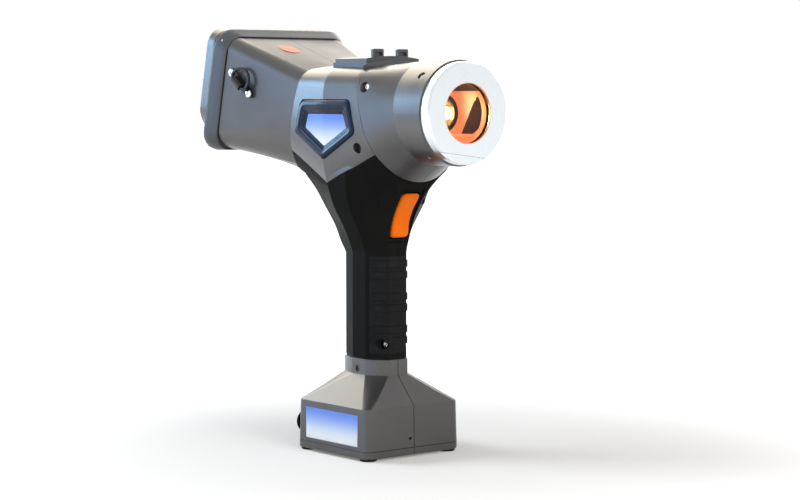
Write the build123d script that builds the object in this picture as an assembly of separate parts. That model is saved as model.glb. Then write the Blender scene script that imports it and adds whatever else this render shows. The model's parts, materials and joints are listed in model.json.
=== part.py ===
from build123d import *
import math
import os

os.makedirs("parts", exist_ok=True)

# Portable near-infrared analyzer, millimetres.
# The nose points along +X, +Z is up, and the origin is on the ground under the handle.
# "right" is the -Y half and "left" is the +Y half, as the user holds it.

# Shared sizes
wall = 2.6
running_gap = 0.3
slip_gap = 0.2
seam_gap = 0.3
pin_gap = 0.3
large = 400.0

# Base
foot_height = 1.9
foot_radius = 7.2
foot_bevel = 0.8
centre_pad_radius = 14.0
foot_inset = 8.2
base_plate_thickness = 6.1
base_length = 96.0
base_width = 100.0
base_draft = 0.7
base_corner_radius = 7.0
base_corner_bulge = 2.0
base_wall_height = 34.8
slope_height = 23.0
collar_height = 13.0
collar_margin = 0.6
collar_bulge = 0.9
spigot_height = 6.4
spigot_wall = 2.0
seal_thickness = 1.5
seal_inset = 0.8
boss_radius = 4.0
boss_height = 20.0
plate_screw_radius = 1.5
plate_screw_head_radius = 2.8
plate_screw_head = 1.7
plate_screw_length = 15.0
plate_screw_x = 24.0
plate_screw_y = 43.6
side_plate_length = 71.0
side_plate_height = 26.0
side_plate_thickness = 0.7
side_plate_bottom = 11.4
battery_length = 74.0
battery_width = 62.0
battery_height = 33.0
pilot_hole_radius = 1.3
pilot_hole_y = -4.1
pilot_hole_z = 15.6
collar_screw_z = 70.4
collar_screw_head_radius = 2.7

# Power button and covered socket on the rear of the base
button_from_side = 11.0
button_height = 22.6
button_radius = 6.2
button_dome = 3.4
button_reach = 4.5
button_travel = 2.5
button_flange_radius = 7.5
button_flange_thickness = 1.4
button_ring_radius = 9.4
button_ring_thickness = 2.4
button_sleeve_radius = 7.8
button_sleeve_length = 4.2
switch_size = 9.0
switch_depth = 4.5
board_thickness = 1.6
socket_cover_y = 14.0
socket_cover_z = 20.0
socket_cover_width = 15.0
socket_cover_height = 10.0
socket_cover_thickness = 1.8

# Handle, as an eight-sided tube that flares into the head
grip_top = 166.0
grip_front = 26.0
grip_front_half = 9.8
grip_side_front = 9.7
grip_side_half = 21.0
grip_side_rear = -7.5
grip_rear = -27.0
grip_rear_half = 13.6
grip_edge_radius = 3.0

# Rubber grip on the front of the handle
rubber_thickness = 1.4
rubber_start = 12.5
rubber_bottom = 84.0
rubber_top = 165.0
rib_height = 0.9
rib_width = 5.4
rib_pitch = 9.4
rib_pair_pitch = 27.3
rib_pair_count = 3
rib_first = 94.4
grip_screw_x = 21.5
grip_screw_z = 92.0
grip_screw_head_radius = 3.2
grip_screw_recess = 4.4
grip_screw_seat = 7.6
grip_screw_radius = 1.6

# Trigger
trigger_bottom = 180.4
trigger_top = 217.6
trigger_half_width = 8.6
trigger_proud = 2.4
trigger_depth = 4.0
trigger_gap = 0.7
trigger_pin_radius = 1.6
trigger_pin_x = 29.0
trigger_pin_z = 211.0
trigger_boss_radius = 3.8
trigger_arm_half = 3.5
trigger_pin_reach = 18.0
spring_z = 196.0
spring_seat_x = 27.4
pocket_half_width = 12.4
pocket_bottom = 176.4
pocket_top = 221.0
pocket_recess = 1.1
pocket_thickness = 3.4
tray_x = 1.0
tray_thickness = 2.4
tray_bottom = 176.0
tray_top = 200.0
microswitch_depth = 9.0
spring_radius = 2.8
spring_wire = 0.5
spring_turns = 5

# Head
head_axis_z = 283.5
seam_x = 26.0
seam_z = 320.0
seam_slope = 0.32
rear_x = -57.0
rear_z = 260.0
rear_slope = 0.23
crease_x = -7.5
rear_half_width = 50.4
rear_top_z = 323.4
v_apex_z = 226.0
v_rear_x = -59.0
v_rear_z = 252.3
v_front_x = 48.4
v_front_z = 250.0
tray_z = 256.0

# Badge on the right side of the yoke
badge_top = 294.5
badge_side_z = 267.0
badge_bottom = 244.7
badge_top_half = 32.0
badge_side_half = 40.2
badge_plate_top = 282.5
badge_plate_side_z = 271.2
badge_plate_bottom = 256.4
badge_plate_x = -6.2
badge_plate_top_half = 23.0
badge_plate_side_half = 27.0
badge_corner_radius = 5.0
badge_recess = 2.2
badge_plate_depth = 1.0
badge_floor = 4.2
badge_plate_thickness = 1.2

# Nose
barrel_radius = 42.4
shoulder_end_x = 73.0
shoulder_slope = 0.1
ring_rear_x = 105.2
ring_front_x = 115.0
ring_radius = 41.3
ring_chamfer = 1.5
ring_roll = 7.0
ring_flat = 33.5
ring_flat_depth = 0.9
ring_spigot_length = 18.0
ring_spigot_wall = 3.0
window_radius = 24.3
window_seat_radius = 26.8
window_thickness = 2.0
window_lip = 2.6
gasket_thickness = 1.4
ring_screw_x = 93.0
ring_screw_seat = 39.8
ring_screw_radius = 1.3
ring_screw_angles = (45.0, -58.0)
ring_screw_head_radius = 2.9
ring_screw_recess = 3.5
side_screw_head_radius = 3.9
side_screw_recess = 4.3
side_screw_radius = 1.7
side_screw_boss_radius = 6.2
barrel_screw_x = 38.8
barrel_screw_seat = 41.4
barrel_screw_z = 304.4
yoke_screw_x = 32.8
yoke_screw_seat = 43.2
yoke_screw_z = 255.2

# Optics behind the window
chamber_radius = 28.0
chamber_wall = 1.6
chamber_rear_x = 60.0
chamber_floor = 266.5
lamp_rim_x = 84.0
lamp_rim_radius = 15.6
lamp_depth = 19.0
lamp_holder_wall = 1.8
bulb_radius = 3.2
bulb_length = 13.0
lens_z = 305.0
lens_radius = 4.0
lens_tube_radius = 5.4
lens_tube_length = 24.4
flag_pivot_y = -14.0
flag_pivot_z = 299.0
flag_radius = 5.2
flag_thickness = 1.0
flag_swing = 142.0
flag_shaft_radius = 1.2
flag_motor_radius = 5.0
flag_motor_length = 12.0
baffle_y = 20.0
baffle_thickness = 1.2
spectrometer_front_x = 46.0
spectrometer_length = 82.0
spectrometer_width = 58.0
spectrometer_height = 51.0
spectrometer_wall = 2.0

# Housing and rear unit, on a plane that leans forwards at its top
tilt = 12.2
rear_unit_x = -135.8
rear_unit_z = 300.0
housing_half_width = 63.0
housing_top = 48.3
housing_bottom = -49.5
housing_top_radius = 12.0
housing_bottom_radius = 18.0
housing_tuck = 5.0
housing_gap = 0.5
flange_half_width = 69.0
flange_top = 53.8
flange_bottom = -53.5
flange_radius = 17.0
flange_depth = 14.0
flange_bevel = 4.5
cover_top = 53.0
cover_bottom = -40.0
cover_top_radius = 15.0
cover_bottom_radius = 24.0
cover_depth = 12.0
cover_bevel = 2.5
display_centre = 8.0
display_half_width = 56.0
display_half_height = 34.5
glass_margin = 3.8
glass_thickness = 1.6
display_gasket = 0.8
display_thickness = 6.4
board_spacing = 6.0
cover_screw_radius = 1.6
cover_screw_head_radius = 2.4
cover_screw_half = 63.8
data_cover_width = 26.0
data_cover_height = 7.5
data_cover_thickness = 1.6
oval_x = -97.0
oval_y = -20.2
oval_half_width = 8.6
oval_half_length = 10.6
oval_thickness = 1.0

# Saddle plate and its catches on the head
saddle_front_x = 25.4
saddle_knee_x = 18.0
saddle_rear_x = -23.0
saddle_front_half = 35.0
saddle_rear_half = 29.0
saddle_thickness = 4.0
upper_front_x = 20.0
upper_half = 27.8
upper_crown_z = 330.2
upper_side_z = 328.0
loop_width = 11.0
loop_top_z = 336.0
loop_length = 3.0
loop_back = 0.8
loop_x = 15.8
loop_y = 12.9
loop_hole_width = 7.0
loop_hole_height = 3.0
loop_roof = 2.6

# Strap rings on the sides of the housing
lug_x = -112.5
lug_z = 308.3
lug_slope = -42.0
lug_half_pitch = 13.4
lug_plate_width = 8.0
lug_plate_thickness = 1.8
lug_axis_height = 5.7
lug_tube_radius = 3.2
lug_tube_length = 11.0
lug_screw_head_radius = 3.3
lug_screw_head = 1.9
lug_pad = 1.3
strap_wire_radius = 1.35
strap_half_length = 9.6
strap_corner = 3.2
strap_rise = 13.5
strap_lean = -8.0


def box(x0, x1, y0, y1, z0, z1):
    """Box from its lowest to its highest corner."""
    return Pos((x0 + x1) / 2, (y0 + y1) / 2, (z0 + z1) / 2) * Box(x1 - x0, y1 - y0, z1 - z0)


def rod(radius, start, end):
    """Cylinder between two points."""
    axis = Vector(*end) - Vector(*start)
    plane = Plane(origin=Vector(*start), z_dir=axis.normalized())
    return extrude(plane * Circle(radius), amount=axis.length)


def right_half(solid):
    return solid & box(-large, large, -large, -seam_gap / 2, -large, 2 * large)


def left_half(solid):
    return solid & box(-large, large, seam_gap / 2, large, -large, 2 * large)


def mirrored(solid):
    return mirror(solid, about=Plane.XZ)


def moved_in(points, inset):
    """Corners of a closed outline, counted anticlockwise, with each side moved inwards."""
    sides = []
    for (x0, y0), (x1, y1) in zip(points, points[1:] + points[:1]):
        length = math.hypot(x1 - x0, y1 - y0)
        nx, ny = -(y1 - y0) / length, (x1 - x0) / length
        sides.append((nx, ny, nx * x0 + ny * y0 + inset))
    moved = []
    for (a, b, c), (d, e, f) in zip(sides[-1:] + sides[:-1], sides):
        scale = a * e - b * d
        moved.append(((c * e - b * f) / scale, (a * f - c * d) / scale))
    return moved


def save(node, *solids):
    """Writes one sub-part under its node's name."""
    found = [piece for item in solids for piece in item.solids()]
    shape = found[0] if len(found) == 1 else Compound(children=found)
    export_step(shape, f"parts/{node}.step")


# Heights of the base, from the ground up
shell_bottom = foot_height + base_plate_thickness
slope_bottom = shell_bottom + base_wall_height
collar_bottom = slope_bottom + slope_height
collar_top = collar_bottom + collar_height
handle_bottom = collar_top + seal_thickness


# Outlines of the base and the handle

def grip_half_outline():
    """Corners of the grip on its +Y side, from the front."""
    return [(grip_front, grip_front_half), (grip_side_front, grip_side_half),
            (grip_side_rear, grip_side_half), (grip_rear, grip_rear_half)]


def grip_corners():
    """Corners of the grip, anticlockwise from the front."""
    half = grip_half_outline()
    return half + [(x, -y) for x, y in reversed(half)]


def base_corners(shrink):
    """Ends of the straight sides of the base, anticlockwise from the front."""
    x = base_length / 2 - shrink
    y = base_width / 2 - shrink
    r = base_corner_radius
    half = [(x, y - r), (x - r, y), (r - x, y), (-x, y - r)]
    return half + [(px, -py) for px, py in reversed(half)]


def soft_eight(points, z, bulge):
    """Eight-sided face whose four corner sides are bowed outwards."""
    edges = []
    for index, (start, end) in enumerate(zip(points, points[1:] + points[:1])):
        a = Vector(start[0], start[1], z)
        b = Vector(end[0], end[1], z)
        if index % 2 == 1 or abs(start[0] - end[0]) < 1e-6:
            edges.append(Line(a, b))
        else:
            out = Vector(b.Y - a.Y, a.X - b.X, 0).normalized()
            edges.append(ThreePointArc(a, (a + b) / 2 + out * bulge, b))
    return make_face(edges)


def base_face(z, shrink, inset):
    return soft_eight(moved_in(base_corners(shrink), inset), z, base_corner_bulge)


def collar_face(z, inset):
    return soft_eight(moved_in(grip_corners(), inset - collar_margin), z, collar_bulge)


def base_form(inset, floor, ceiling):
    """Body, sloped shoulder and collar of the base, moved inwards by inset."""
    knee = slope_bottom - inset * 0.4
    neck = collar_bottom - inset * 0.4
    body = loft([base_face(floor, 0, inset), base_face(knee, base_draft, inset)], ruled=True)
    slope = loft([base_face(knee, base_draft, inset), collar_face(neck, inset)], ruled=True)
    collar = extrude(collar_face(neck, inset), amount=ceiling - neck)
    return body + slope + collar


def plate_screw_places():
    return [(sx * plate_screw_x, sy * plate_screw_y) for sx in (-1, 1) for sy in (-1, 1)]


# Base

side_plate_floor = -(base_width / 2 - base_draft - side_plate_thickness)
button_y = -(base_width / 2 - button_from_side)
button_low = button_height - button_ring_radius - shell_bottom
button_face = -(base_length / 2 - base_draft * button_low / base_wall_height)
socket_low = socket_cover_z - socket_cover_height / 2 - shell_bottom
socket_face = -(base_length / 2 - base_draft * socket_low / base_wall_height)


def side_plate():
    half = side_plate_length / 2
    return box(-half, half, side_plate_floor - side_plate_thickness, side_plate_floor,
               side_plate_bottom, side_plate_bottom + side_plate_height)


def base_shell():
    """Both halves of the base shell, with the spigot that plugs into the handle."""
    shell = base_form(0, shell_bottom, collar_top)
    shell += grip_form(wall + slip_gap, collar_bottom + wall, collar_top + spigot_height)
    shell -= base_form(wall, shell_bottom, collar_bottom + wall)
    shell -= grip_form(wall + slip_gap + spigot_wall, collar_bottom, 2 * collar_top)
    for x, y in plate_screw_places():
        shell += rod(boss_radius, (x, y, shell_bottom), (x, y, shell_bottom + boss_height))
        shell -= rod(plate_screw_radius, (x, y, shell_bottom), (x, y, shell_bottom + boss_height - 3))
    shell -= box(-side_plate_length / 2, side_plate_length / 2, -large, side_plate_floor,
                 side_plate_bottom, side_plate_bottom + side_plate_height)
    front = base_length / 2
    shell -= rod(pilot_hole_radius, (front - 2 * wall, pilot_hole_y, pilot_hole_z),
                 (front + 1, pilot_hole_y, pilot_hole_z))
    shell -= rod(button_sleeve_radius + slip_gap, (-front - 1, button_y, button_height),
                 (-front + 2 * wall, button_y, button_height))
    shell -= socket_plug(slip_gap)
    side = grip_side_half + collar_margin
    shell -= rod(collar_screw_head_radius + slip_gap, (0, -side - 1, collar_screw_z),
                 (0, 1.6 - side, collar_screw_z))
    shell -= rod(side_screw_radius + slip_gap, (0, -side, collar_screw_z),
                 (0, -side + 3 * wall, collar_screw_z))
    return shell


def socket_plug(gap):
    """Plug of the socket cover that goes through the wall."""
    half = socket_cover_width / 2 - 2.5 + gap
    rise = socket_cover_height / 2 - 2 + gap
    return box(socket_face, socket_face + 2 * wall, socket_cover_y - half, socket_cover_y + half,
               socket_cover_z - rise, socket_cover_z + rise)


def foot(radius):
    profile = Polyline((0, 0), (radius - foot_bevel, 0), (radius, foot_bevel), (radius, foot_height),
                       (0, foot_height), close=True)
    return revolve(Plane.XZ * make_face(profile), Axis.Z)


def base_parts():
    shell = base_shell()
    save("base_shell_right", right_half(shell))
    save("base_shell_left", left_half(shell))

    plate = loft([base_face(foot_height, 0.8, 0), base_face(foot_height + 0.8, 0, 0)], ruled=True)
    plate += extrude(base_face(foot_height + 0.8, 0, 0), amount=base_plate_thickness - 0.8)
    feet = [foot(centre_pad_radius)]
    for sx in (-1, 1):
        for sy in (-1, 1):
            feet.append(Pos(sx * (base_length / 2 - foot_inset), sy * (base_width / 2 - foot_inset),
                            0) * foot(foot_radius))
    screws = []
    for x, y in plate_screw_places():
        seat = foot_height + plate_screw_head + 0.3
        plate -= rod(plate_screw_radius, (x, y, seat), (x, y, shell_bottom + 1))
        plate -= rod(plate_screw_head_radius + slip_gap, (x, y, 0), (x, y, seat))
        head = rod(plate_screw_head_radius, (x, y, seat - plate_screw_head), (x, y, seat))
        shank = rod(plate_screw_radius, (x, y, seat), (x, y, seat + plate_screw_length))
        screws.append(head + shank - Pos(x, y, 0) * extrude(RegularPolygon(1.2, 6), amount=seat - 0.6))
    save("base_plate", plate)
    save("base_feet", *feet)
    save("base_plate_screws", *screws)

    battery = extrude(Pos(0, 0, shell_bottom) * RectangleRounded(battery_length, battery_width, 6),
                      amount=battery_height)
    save("battery_pack", battery)
    save("base_side_plate", side_plate())

    seal = extrude(collar_face(collar_top, collar_margin + seal_inset), amount=seal_thickness)
    seal -= extrude(collar_face(collar_top - 1, collar_margin + wall + slip_gap), amount=seal_thickness + 2)
    save("collar_seal", seal)


def collar_screw():
    """Recessed screw on the right side of the collar."""
    side = -(grip_side_half + collar_margin)
    head = rod(collar_screw_head_radius, (0, side + 0.5, collar_screw_z), (0, side + 1.6, collar_screw_z))
    shank = rod(side_screw_radius, (0, side + 1.6, collar_screw_z), (0, side + 3 * wall, collar_screw_z))
    return head + shank - rod(1.3, (0, side, collar_screw_z), (0, side + 1.1, collar_screw_z))


def button_parts():
    """Domed power button, the ring that guides it, and its switch on a small board."""
    y, z, face = button_y, button_height, button_face
    rim = face - button_ring_thickness
    ring = rod(button_ring_radius, (rim, y, z), (face, y, z)) + rod(button_sleeve_radius, (face, y, z),
            (face + button_sleeve_length, y, z))
    ring = fillet(ring.edges().filter_by(GeomType.CIRCLE).sort_by(Axis.X)[0], 1.0)
    ring -= rod(button_radius + running_gap, (rim - 1, y, z), (face + button_sleeve_length + 1, y, z))
    save("power_button_ring", ring)

    back = face + button_sleeve_length + running_gap
    tip = rim - button_reach
    button = rod(button_radius, (tip, y, z), (back, y, z))
    button = fillet(button.edges().filter_by(GeomType.CIRCLE).sort_by(Axis.X)[0], button_dome)
    button += rod(button_flange_radius, (back, y, z), (back + button_flange_thickness, y, z))
    save("power_button", button)

    front = back + button_flange_thickness + button_travel + running_gap
    body = box(front, front + switch_depth, y - switch_size / 2, y + switch_size / 2, z - switch_size / 2,
               z + switch_size / 2)
    board = box(front + switch_depth, front + switch_depth + board_thickness, y - switch_size * 0.7,
                y + switch_size * 0.7,
                shell_bottom, z + switch_size * 0.7)
    save("power_switch", body + board)


def socket_cover():
    """Rubber cover with its plug on the rear of the base."""
    cover = box(socket_face - socket_cover_thickness, socket_face, socket_cover_y - socket_cover_width / 2,
                socket_cover_y + socket_cover_width / 2, socket_cover_z - socket_cover_height / 2,
                socket_cover_z + socket_cover_height / 2)
    cover = fillet(cover.edges().filter_by(Axis.X), 3)
    return cover + socket_plug(0)


# Head and handle forms

def handle_section(z, front, side_front, side_rear, rear, inset):
    """Face of the handle at height z, from the corners of its -Y to +Y symmetric outline."""
    half = [front, side_front, side_rear, rear]
    points = half + [(x, -y) for x, y in reversed(half)]
    face = make_face(Polyline(*moved_in(points, inset), close=True))
    return Pos(0, 0, z) * fillet(face.vertices(), max(grip_edge_radius - inset, 0.6))


def flare_corners():
    """Heights and half outlines of the flare: front, side front, side rear and rear corners."""
    return [
        (grip_top, grip_half_outline()),
        (171.0, [(26.4, 10.0), (9.8, 21.9), (-7.5, 22.1), (-30.2, 14.0)]),
        (177.0, [(27.4, 10.7), (10.1, 24.2), (-7.5, 24.6), (-33.4, 14.8)]),
        (186.0, [(29.2, 11.9), (10.5, 28.2), (-7.5, 28.8), (-37.2, 15.8)]),
        (198.0, [(33.3, 13.0), (11.5, 35.0), (-7.5, 36.0), (-43.4, 18.4)]),
        (210.0, [(40.0, 14.4), (13.0, 41.0), (-7.5, 42.2), (-48.7, 22.4)]),
        (222.0, [(47.5, 18.0), (14.5, 44.8), (-7.5, 46.4), (-53.6, 27.4)]),
        (234.0, [(54.0, 27.0), (16.0, 46.5), (-7.5, 48.6), (-58.0, 34.4)]),
        (246.0, [(58.0, 36.0), (17.0, 47.5), (-7.5, 50.0), (-60.9, 42.4)]),
    ]


def grip_form(inset, floor, ceiling):
    """Straight part of the handle between two heights, moved inwards by inset."""
    return extrude(handle_section(floor, *grip_half_outline(), inset), amount=ceiling - floor)


def handle_form(inset, floor):
    """Straight grip and the flare above it, moved inwards by inset."""
    straight = grip_form(inset, floor, grip_top)
    flare = loft([handle_section(z, *corners, inset) for z, corners in flare_corners()])
    return straight + flare


def seam_at(z):
    """X of the plane between yoke and nose."""
    return seam_x + (seam_z - z) * seam_slope


def rear_at(z):
    """X of the plane between yoke and housing."""
    return rear_x + (z - rear_z) * rear_slope


def arch(x, z0, slope, marks, inset):
    """Head section on a leaning plane, from nine marks on its +Y side.

    The plane passes through x at height z0, and x grows by slope for each millimetre upwards.
    Each mark gives y, z and the angle of the outward normal, from the lowest point to the highest.
    """
    plane = Plane(origin=(x, 0, z0), x_dir=(0, -1, 0), z_dir=Vector(-1, 0, slope).normalized())
    stretch = math.hypot(1, slope)
    half = []
    for y, z, angle in marks:
        a = math.radians(angle)
        half.append((inset * math.cos(a) - y, (z - inset * math.sin(a) - z0) * stretch))
    low, corner, flank, widest, side, shoulder, bend, crown, top = half
    other = [(-u, v) for u, v in half]
    edges = [
        ThreePointArc(other[1], low, corner),
        ThreePointArc(corner, flank, widest),
        ThreePointArc(widest, side, shoulder),
        ThreePointArc(shoulder, bend, crown),
        ThreePointArc(crown, top, other[7]),
        ThreePointArc(other[7], other[6], other[5]),
        ThreePointArc(other[5], other[4], other[3]),
        ThreePointArc(other[3], other[2], other[1]),
    ]
    return plane * make_face(edges)


def seam_arch(inset):
    marks = [(0, 227.0, -90), (34.6, 241.4, -45), (45.3, 257.3, -22), (49.0, 276.0, 0), (48.3, 291.0, 4),
             (46.4, 303.6, 14), (41.8, 314.0, 42), (31.0, 319.2, 74), (0, 322.6, 90)]
    return arch(seam_x, seam_z, -seam_slope, marks, inset)


def crease_arch(inset):
    marks = [(0, 221.9, -90), (46.0, 222.0, -45), (50.6, 238.0, -12), (52.5, 262.0, 0), (52.4, 284.0, 2),
             (51.0, 303.6, 14), (45.8, 314.7, 42), (33.0, 320.4, 76), (0, 323.5, 90)]
    return arch(crease_x, rear_z, 0, marks, inset)


def rear_arch(inset):
    marks = [(0, 225.0, -90), (37.0, 237.5, -45), (46.6, 254.0, -20), (rear_half_width, 275.0, 0),
             (50.3, 291.0, 3),
             (48.6, 306.5, 16), (44.0, 315.4, 42), (33.0, 320.2, 74), (0, rear_top_z, 90)]
    return arch(rear_x, rear_z, rear_slope, marks, inset)


def head_form(inset, reach):
    """Yoke's outer form between its two end planes, lengthened past them by reach."""
    rear, crease, seam = rear_arch(inset), crease_arch(inset), seam_arch(inset)
    form = loft([rear, crease], ruled=True) + loft([crease, seam], ruled=True)
    if reach > 0:
        form += extrude(rear, amount=reach, dir=(-1, 0, 0))
        form += extrude(seam, amount=reach, dir=(1, 0, 0))
    return form


def prism(points, half):
    """Outline in X and Z, made solid across Y."""
    face = make_face(Polyline(*[(x, 0, z) for x, z in points], close=True))
    return extrude(face, amount=half, both=True)


def between_end_planes():
    low, high = -10.0, 380.0
    return prism([(rear_at(low), low), (seam_at(low), low), (seam_at(high), high), (rear_at(high), high)],
                 large)


def above_v():
    """Space above the V-shaped lower edge of the yoke."""
    reach = 3.0
    rear = (crease_x + (v_rear_x - crease_x) * reach, v_apex_z + (v_rear_z - v_apex_z) * reach)
    front = (crease_x + (v_front_x - crease_x) * reach, v_apex_z + (v_front_z - v_apex_z) * reach)
    return prism([(crease_x, v_apex_z), front, (front[0], 2 * large), (rear[0], 2 * large), rear], large)


def barrel_form(inset, reach):
    """Conical shoulder and cylinder of the nose."""
    def circle_mark(angle):
        a = math.radians(angle)
        return (barrel_radius * math.cos(a), head_axis_z + barrel_radius * math.sin(a), angle)
    marks = [circle_mark(angle) for angle in (-90, -45, -22, 0, 14, 28, 44, 58, 90)]
    end = arch(shoulder_end_x, head_axis_z, -shoulder_slope, marks, inset)
    seam = seam_arch(inset)
    form = loft([seam, end], ruled=True)
    form += extrude(end, amount=ring_rear_x + reach + large / 4, dir=(1, 0, 0)) & box(0,
            ring_rear_x + reach, -large, large, 0, large)
    if reach > 0:
        form += extrude(seam, amount=reach, dir=(-1, 0, 0))
    return form


# Handle, yoke and their screws

def side_screw(x, seat, z, side):
    """Recessed screw along Y whose head faces the given side."""
    head = rod(side_screw_head_radius, (x, side * (seat + 2.4), z), (x, side * seat, z))
    shank = rod(side_screw_radius, (x, side * seat, z), (x, side * (seat - 7), z))
    socket = rod(1.7, (x, side * (seat + 3), z), (x, side * (seat + 1), z))
    return head + shank - socket


def add_side_boss(shell, form, x, seat, z, side):
    """Adds a counterbored boss for a side screw to a shell."""
    inner = seat - 6
    shell += rod(side_screw_boss_radius, (x, side * inner, z), (x, side * large / 4, z)) & form
    shell -= rod(side_screw_recess, (x, side * seat, z), (x, side * large / 4, z))
    shell -= rod(side_screw_radius, (x, side * (inner - 1), z), (x, side * seat, z))
    return shell


def rubber_block():
    return box(rubber_start, large, -large, large, rubber_bottom, rubber_top)


def front_block(width, bottom, top, outer_inset, inner_inset):
    """Part of the handle's flat front between two depths and two heights."""
    near = [(corners[0][0] - outer_inset, 0, z) for z, corners in flare_corners()]
    far = [(corners[0][0] - inner_inset, 0, z) for z, corners in flare_corners()]
    face = make_face([Spline(*near), Line(near[-1], far[-1]), Spline(*reversed(far)),
                      Line(far[0], near[0])])
    return extrude(face, amount=width, both=True) & box(0, large, -width, width, bottom, top)


def five_sided(x, top, side_z, bottom, top_half, side_half, y):
    """Badge outline as a wire face at one Y."""
    points = [(x - top_half, top), (x + top_half, top), (x + side_half, side_z), (x, bottom),
              (x - side_half, side_z)]
    return make_face(Polyline(*[(px, y, pz) for px, pz in points], close=True))


def badge_outline(grow, near, far):
    """Badge frame's outline, made larger by grow, as a solid from one Y to another."""
    face = five_sided(crease_x, badge_top + grow, badge_side_z, badge_bottom - grow * 1.3,
                      badge_top_half + grow, badge_side_half + grow * 1.2, near)
    return extrude(fillet(face.vertices(), badge_corner_radius), amount=far - near, dir=(0, 1, 0))


handle_outer = handle_form(0, handle_bottom)
handle_inner = handle_form(wall, handle_bottom)
head_outer = head_form(0, 0)
outer = (head_outer + handle_outer) & between_end_planes()
hollow = head_form(wall, 12) + handle_inner
upper = above_v()


def handle_and_yoke():
    shell = outer - hollow
    handle = shell - upper
    yoke = shell & upper
    bed = grip_form(rubber_thickness, rubber_bottom, rubber_top)
    handle -= (grip_form(-1, rubber_bottom, rubber_top) - bed) & rubber_block()
    rim = front_block(pocket_half_width + wall, pocket_bottom - wall, pocket_top + 1, 0,
                      pocket_thickness + wall)
    handle += rim & handle_outer
    handle -= front_block(pocket_half_width, pocket_bottom, pocket_top, -6, large / 20)
    for side in (-1, 1):
        post = rod(grip_screw_recess + 1.8, (grip_screw_x - 1, 0, grip_screw_z),
                   (grip_screw_x - 1, side * large / 4, grip_screw_z))
        handle += post & grip_form(rubber_thickness, handle_bottom, grip_top)
        handle -= rod(grip_screw_recess, (grip_screw_x, side * grip_screw_seat, grip_screw_z),
                      (grip_screw_x, side * large / 4, grip_screw_z))
    handle -= rod(grip_screw_radius, (grip_screw_x, -large / 4, grip_screw_z),
                  (grip_screw_x, large / 4, grip_screw_z))
    for side in (-1, 1):
        near = side * (trigger_half_width + 1.5)
        far = side * trigger_pin_reach
        handle += rod(trigger_pin_radius + 2.4, (trigger_pin_x, near, trigger_pin_z),
                      (trigger_pin_x, far + side * 6, trigger_pin_z))
    handle -= rod(trigger_pin_radius, (trigger_pin_x, -trigger_pin_reach, trigger_pin_z),
                  (trigger_pin_x, trigger_pin_reach, trigger_pin_z))
    save("handle_shell_right", right_half(handle))
    save("handle_shell_left", left_half(handle))

    yoke_form = outer & upper
    yoke_right = add_side_boss(right_half(yoke), yoke_form, yoke_screw_x, yoke_screw_seat, yoke_screw_z, -1)
    yoke_left = add_side_boss(left_half(yoke), yoke_form, yoke_screw_x, yoke_screw_seat, yoke_screw_z, 1)
    rim = badge_outline(1.8, -60, -40)
    yoke_right += (rim & yoke_form) - head_form(badge_floor + 1.4, 12)
    yoke_right -= badge_outline(0, -60, -40) - head_form(badge_floor, 12)
    save("yoke_shell_right", yoke_right)
    save("yoke_shell_left", yoke_left)
    screws = [collar_screw()]
    for side in (-1, 1):
        screws.append(side_screw(yoke_screw_x, yoke_screw_seat, yoke_screw_z, side))
        screws.append(side_screw(barrel_screw_x, barrel_screw_seat, barrel_screw_z, side))
    save("body_screws", *screws)


def badge_parts():
    frame = (badge_outline(-0.05, -60, -40) & head_form(0.2, 0)) - head_form(badge_floor, 12)
    slope = loft([
        five_sided(crease_x, badge_top - 2, badge_side_z, badge_bottom + 2.6, badge_top_half - 2,
                   badge_side_half - 2.4, -60),
        five_sided(badge_plate_x, badge_plate_top + 2.5, badge_plate_side_z + 1, badge_plate_bottom - 4,
                   badge_plate_top_half + 2, badge_plate_side_half + 4, -49),
    ], ruled=True)
    frame -= slope - head_form(badge_recess, 12)
    face = five_sided(badge_plate_x, badge_plate_top, badge_plate_side_z, badge_plate_bottom,
                      badge_plate_top_half, badge_plate_side_half, -60)
    space = extrude(fillet(face.vertices(), 1.2), amount=20, dir=(0, 1, 0))
    floor = head_form(badge_plate_depth + badge_plate_thickness, 12)
    plate = (space & head_form(badge_plate_depth, 0)) - floor
    frame -= space - floor
    save("badge_frame", frame)
    save("badge_plate", plate)


def grip_parts():
    bed = grip_form(rubber_thickness, rubber_bottom, rubber_top)
    rubber = (grip_form(0, rubber_bottom, rubber_top) - bed) & rubber_block()
    for pair in range(rib_pair_count):
        for step in (0, 1):
            low = rib_first + pair * rib_pair_pitch + step * rib_pitch - rib_width / 2
            band = grip_form(-rib_height, low, low + rib_width) - grip_form(rubber_thickness, low,
                    low + rib_width)
            rubber += band & box(rubber_start + 2, large, -large, large, 0, large)
    for side in (-1, 1):
        rubber -= rod(grip_screw_recess, (grip_screw_x, side * grip_screw_seat, grip_screw_z),
                      (grip_screw_x, side * large / 4, grip_screw_z))
    save("front_grip", rubber)
    seat = grip_screw_seat
    head = rod(grip_screw_head_radius, (grip_screw_x, -seat - 2.2, grip_screw_z),
               (grip_screw_x, -seat, grip_screw_z))
    shank = rod(grip_screw_radius, (grip_screw_x, -seat, grip_screw_z), (grip_screw_x, seat, grip_screw_z))
    nut = extrude(Plane(origin=(grip_screw_x, seat, grip_screw_z),
                        z_dir=(0, 1, 0)) * RegularPolygon(grip_screw_head_radius, 6), amount=2.2)
    screw = head + shank - rod(1.4, (grip_screw_x, -seat - 3, grip_screw_z),
                               (grip_screw_x, -seat - 1.2, grip_screw_z))
    save("grip_screw", screw + nut)


# Trigger

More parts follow.
